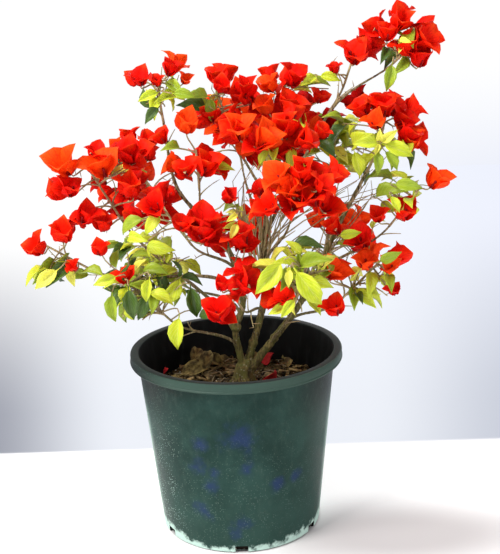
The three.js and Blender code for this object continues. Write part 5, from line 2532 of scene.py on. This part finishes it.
    def add_bare_twig(self, limb: Limb, share: float, tip: Array, keys: tuple[int, int]) -> None:
        """Adds a bare twig from a share of a limb to a tip, with one finer twig that forks from it.

        Args:
            limb: the limb that it leaves.
            share: where along the limb.
            tip: where it ends.
            keys: the numbers that name it.
        """
        start, along = limb.path.point(share), limb.path.tangent(share)
        span = float(np.linalg.norm(tip - start))
        aside = np.array([between(-0.6, 0.6, 68, *keys), between(-0.4, 0.4, 69, *keys), 0.0])
        bend = start + unit(along + unit(tip - start) + aside) * span * 0.4
        twig = bezier(start, bend, tip + aside * span * 0.5 - UP * span * 0.08, tip)
        self.twigs.add_twig(twig, 7, 0.95, 0.35, 5)
        fork, heading = twig.point(0.55), twig.tangent(0.55)
        side = sideways(heading, TURN * chance(56, *keys))
        end = fork + unit(side * 0.6 + heading) * span * 0.3
        spine = np.array([fork, fork * 0.5 + end * 0.5 + UP, end])
        self.twigs.add_tube(spine, np.array([0.6, 0.45, 0.25]), 4)

    def grow_inner_twigs(self) -> None:
        """Adds the bare, thin, tan twigs that rise in a broom inside the crown and fan out to its right."""
        middle, right = self.limbs["middle_stem"], self.limbs["right_stem"]
        for index in range(self.broom_twigs):
            x, z = between(10, 92, 51, index), between(396, 452, 52, index)
            tip = np.array([x, between(-34, 34, 53, index), z])
            self.add_bare_twig(middle, between(0.34, 0.6, 57, index), tip, (1, index))
        for index in range(self.fan_twigs):
            x, z = between(112, 214, 58, index), between(392, 470, 59, index)
            tip = np.array([x, between(-46, 30, 60, index), z])
            if index % 2:
                self.add_bare_twig(right, between(0.34, 0.66, 67, index), tip, (2, index))
            else:
                self.add_bare_twig(middle, 0.5 + 0.01 * index, tip, (2, index))
        for number, limb in enumerate(self.limbs.values()):
            for index in range(2):
                share = between(0.5, 0.92, 54, number, index)
                start, along = limb.path.point(share), limb.path.tangent(share)
                side = sideways(along, index * GOLDEN_ANGLE + number)
                tip = start + unit(side + along * 0.8 + UP * 0.3) * between(16, 38, 55, number, index)
                twig = bezier(start, start + along * 8 + side * 4, tip)
                self.twigs.add_twig(twig, 5, 0.9, 0.4, 5)
                self.add_leaves(limb.mass, INNER_KEYS + index, twig, 3, (0.55, 0.98), 0.7)

    def build(self, effects: Effects) -> None:
        """Grows the crown and dresses its pieces.

        Args:
            effects: the shared shader patterns.
        """
        self.grow()
        nodes = ["mass_" + mass.name for mass in self.masses]
        twig = Bark("twig_bark", (0.60, 0.46, 0.25), (0.34, 0.23, 0.12), (0.42, 0.42, 0.16), 0.35)
        tube = Plain("flower_tube", (0.30, 0.004, 0.006), (0.17, 0.003, 0.004), 0.6)
        pieces = [(heap, Slot.BLOOMING, RED_FINISHES[tint]) for tint, heap in self.bracts.items()]
        pieces += [(heap, Slot.LEAFY, GREEN_FINISHES[tint]) for tint, heap in self.leaves.items()]
        pieces += [
            (self.twigs, Slot.BARK, twig),
            (self.green_twigs, Slot.BARK, Plain("young_twig", (0.24, 0.26, 0.06), (0.30, 0.20, 0.08), 0.6)),
            (self.thorns, Slot.BARK, Plain("thorn", (0.42, 0.30, 0.16), (0.30, 0.18, 0.08), 0.5)),
            (self.tubes, Slot.BLOOMING, tube),
            (self.stars, Slot.BLOOMING, Plain("flower_mouth", (0.82, 0.70, 0.42), (0.72, 0.50, 0.22), 0.6)),
        ]
        for heap, slot, finish in pieces:
            finish_piece(heap.build(), slot, nodes, finish.make(effects))
        log.info("blooms: %d", len(self.blooms))


@dataclass(frozen=True)
class StageFinish(Finish):
    """The glowing tones, painted light and shade, that the floor and the backdrop share, which follow the
    bearing from the camera's place.
    """

    name: str
    setback: float = 1.12161
    far_middle: Colour = (0.850, 0.880, 0.955)
    far_right: Colour = (0.800, 0.830, 0.930)
    white: Colour = (1, 1, 1)
    dim: Colour = (0.02, 0.02, 0.02)

    def bearing(self, shading: Shading, place: Sequence[Socket]) -> Socket:
        """Gives how far aside a place lies for its distance."""
        return shading.sum("DIVIDE", place[0], shading.sum("ADD", place[1], self.setback))

    def far_colour(self, shading: Shading, bearing: Socket) -> Socket:
        """Gives the backdrop's tone at its foot: white, and a little blue at the right."""
        middle = shading.blend(shading.ranged(bearing, -0.18, 0.02), self.white, self.far_middle)
        return shading.blend(shading.ranged(bearing, 0.10, 0.30), middle, self.far_right)


@dataclass(frozen=True)
class FloorFinish(StageFinish):
    """The pale floor, which glows as a painted light, with a painted shadow at the right and painted shade
    under the pot, and which behind the pot is backdrop.
    """

    edge: float = 0.185
    edge_fade: float = 0.012
    pale: Colour = (0.90, 0.89, 0.89)
    # The colour, middle and reach of the painted shadow at the pot's right.
    shaded: Colour = (0.52, 0.49, 0.495)
    shade_place: tuple[float, float] = (0.19, -0.065)
    shade_reach: tuple[float, float] = (0.28, 0.12)
    # How strongly the floor glows: a painted light that washes out cast shadows, except in the painted
    # shadow and under the pot.
    glow: float = 0.32
    pot_foot: tuple[float, float] = (0.088, 0.099)
    # The colour of the painted shade on the floor under the pot.
    painted_shade_under_pot: Colour = (0.01, 0.01, 0.01)
    low_left: Colour = (0.290, 0.305, 0.365)
    low_middle: Colour = (0.810, 0.840, 0.905)
    low_right: Colour = (0.545, 0.575, 0.660)

    def backdrop(self, shading: Shading, place: Sequence[Socket]) -> Socket:
        """Gives the backdrop's glowing tones: darker low down at both sides as a painted shade, and paler
        upwards as a painted light.

        Args:
            shading: the material's builder.
            place: the surface's place.

        Returns:
            The colour.
        """
        bearing = self.bearing(shading, place)
        low = shading.layered(
            self.low_left,
            (shading.ranged(bearing, -0.285, -0.125), self.low_middle),
            (shading.ranged(bearing, 0.13, 0.31), self.low_right),
        )
        drawn = shading.sum("POWER", shading.ranged(place[1], 0.33, 1.85), 0.65)
        return shading.blend(drawn, low, self.far_colour(shading, bearing))

    def paint(self, shading: Shading) -> None:
        """Lays out the nodes.

        Args:
            shading: the material's builder.
        """
        place = shading.split(shading.place())
        beyond = shading.ranged(place[1], self.edge, self.edge + self.edge_fade)
        # A soft painted shadow to the right of the pot's foot.
        off = (
            shading.sum("DIVIDE", shading.sum("SUBTRACT", socket, middle), reach)
            for socket, middle, reach in zip(place, self.shade_place, self.shade_reach)
        )
        shade = shading.ranged(shading.hypotenuse(*off), 0.2, 1.0, 1.0, 0.0)
        # Painted shade on the floor under the pot, seen through the drain slots.
        outwards = shading.node("ShaderNodeVectorMath", {0: shading.place()}, operation="LENGTH")
        under = shading.ranged(outwards.outputs["Value"], *self.pot_foot, 1.0, 0.0)
        tones = (shade, self.shaded), (under, self.painted_shade_under_pot), (beyond, self.dim)
        # The floor's glow, a painted light, left out in the painted shadow and under the pot.
        lit = shading.blend(shading.sum("MAXIMUM", shade, under), (self.glow,) * 3, (0, 0, 0))
        glow = shading.blend(beyond, lit, self.backdrop(shading, place))
        shading.surface(shading.layered(self.pale, *tones), 0.8, 0.2, glow=glow)


@dataclass(frozen=True)
class BackdropFinish(StageFinish):
    """The pale backdrop, which glows as a painted light and passes into white upwards."""

    def paint(self, shading: Shading) -> None:
        """Lays out the nodes.

        Args:
            shading: the material's builder.
        """
        place = shading.split(shading.place())
        foot = self.far_colour(shading, self.bearing(shading, place))
        glow = shading.blend(shading.ranged(place[2], -0.2, 0.5), foot, self.white)
        shading.surface(self.dim, 0.9, 0.0, glow=glow)


@dataclass(frozen=True)
class Lamp:
    """A soft square light that points at the plant: its side in metres and its power in watts."""

    name: str
    place: tuple[float, float, float]
    side: float
    power: float
    colour: Colour
    aim: tuple[float, float, float] = (0, 0, 0.3)

    def hang(self) -> None:
        """Adds the light to the scene."""
        light = bpy.data.lights.new(self.name, "AREA")
        light.size, light.energy, light.color = self.side, self.power, self.colour
        lamp = bpy.data.objects.new(self.name, light)
        lamp.location = self.place
        heading = Vector(self.aim) - Vector(self.place)
        lamp.rotation_euler = heading.to_track_quat("-Z", "Y").to_euler()
        bpy.context.scene.collection.objects.link(lamp)


@dataclass
class Studio:
    """The pale floor and backdrop, the soft lights and the camera."""

    camera_place: tuple[float, float, float] = (0.01907, -1.12161, 0.60893)
    elevation: float = math.radians(15.28)
    roll: float = math.radians(-1.79)
    lens: float = 64.98
    sensor: float = 36
    wall_distance: float = 2.6
    surround: Colour = (0.97, 0.98, 1.0)
    surround_strength: float = 0.55
    lamps: tuple[Lamp, ...] = (
        Lamp("key", (-1.1, -0.9, 1.6), 0.7, 44, (1.0, 0.985, 0.96)),
        Lamp("fill", (1.2, -1.5, 0.9), 1.4, 10, (0.97, 0.98, 1.0)),
        Lamp("back", (0.2, 1.4, 1.5), 1.2, 10, (1.0, 1.0, 1.0)),
    )

    def add_sheet(self, name: str, size: tuple[float, float], place: tuple[float, float, float],
                  tilt: float, finish: Finish) -> Object:
        """Adds one flat sheet of the stage.

        Args:
            name: its name.
            size: its width and its depth or height.
            place: where its middle lies.
            tilt: its turn about X in degrees.
            finish: its finish.

        Returns:
            The sheet.
        """
        start_clean()
        bpy.ops.mesh.primitive_plane_add(size=1, location=place, rotation=(math.radians(tilt), 0, 0))
        sheet = bpy.context.object
        sheet.scale = (*size, 1)
        settle(sheet)
        sheet.name = name
        sheet.data.materials.append(finish.make())
        return sheet

    def build_world(self) -> None:
        """Lights the scene softly from all round."""
        world = bpy.data.worlds.new("soft_surround")
        world.use_nodes = True
        shading = Shading(world.node_tree)
        sockets = {"Color": self.surround, "Strength": self.surround_strength}
        sky = shading.node("ShaderNodeBackground", sockets)
        shading.node("ShaderNodeOutputWorld", {"Surface": sky.outputs[0]})
        bpy.context.scene.world = world
        bpy.context.scene.view_settings.view_transform = "Standard"

    def build_camera(self) -> None:
        """Adds the camera at the photograph's viewing angle."""
        back = Vector((0, -math.cos(self.elevation), math.sin(self.elevation)))
        right = Vector((1, 0, 0))
        upward = back.cross(right)
        side = right * math.cos(self.roll) + upward * math.sin(self.roll)
        top = -right * math.sin(self.roll) + upward * math.cos(self.roll)
        camera = bpy.data.cameras.new("camera")
        camera.sensor_fit = "AUTO"
        camera.sensor_width = self.sensor
        camera.lens = self.lens
        obj = bpy.data.objects.new("camera", camera)
        turn = Matrix((side, top, back)).transposed().to_4x4()
        obj.matrix_world = Matrix.Translation(self.camera_place) @ turn
        bpy.context.scene.collection.objects.link(obj)
        bpy.context.scene.camera = obj

    def build(self) -> None:
        """Sets the stage, the lights, the world and the camera."""
        floor = self.add_sheet("floor", (12, 12), (0, 0, 0), 0, FloorFinish("pale_floor"))
        wall_place = (0, self.wall_distance, 1.5)
        wall = self.add_sheet("backdrop", (12, 6), wall_place, 90, BackdropFinish("pale_backdrop"))
        for lamp in self.lamps:
            lamp.hang()
        self.build_world()
        self.build_camera()


def main() -> None:
    """Builds every part of the scene in order."""
    logging.basicConfig(level=logging.INFO, format="%(message)s")
    effects = Effects()
    Studio().build()
    NurseryPot().build(effects)
    plan = PlantPlan()
    limbs = plan.grow()
    crown = Crown(limbs, plan.masses())
    PottingMix().build(effects, crown.leaf_patterns[1], crown.bract_patterns[0])
    Wood(limbs).build(effects)
    crown.build(effects)


if __name__ == "__main__":
    main()
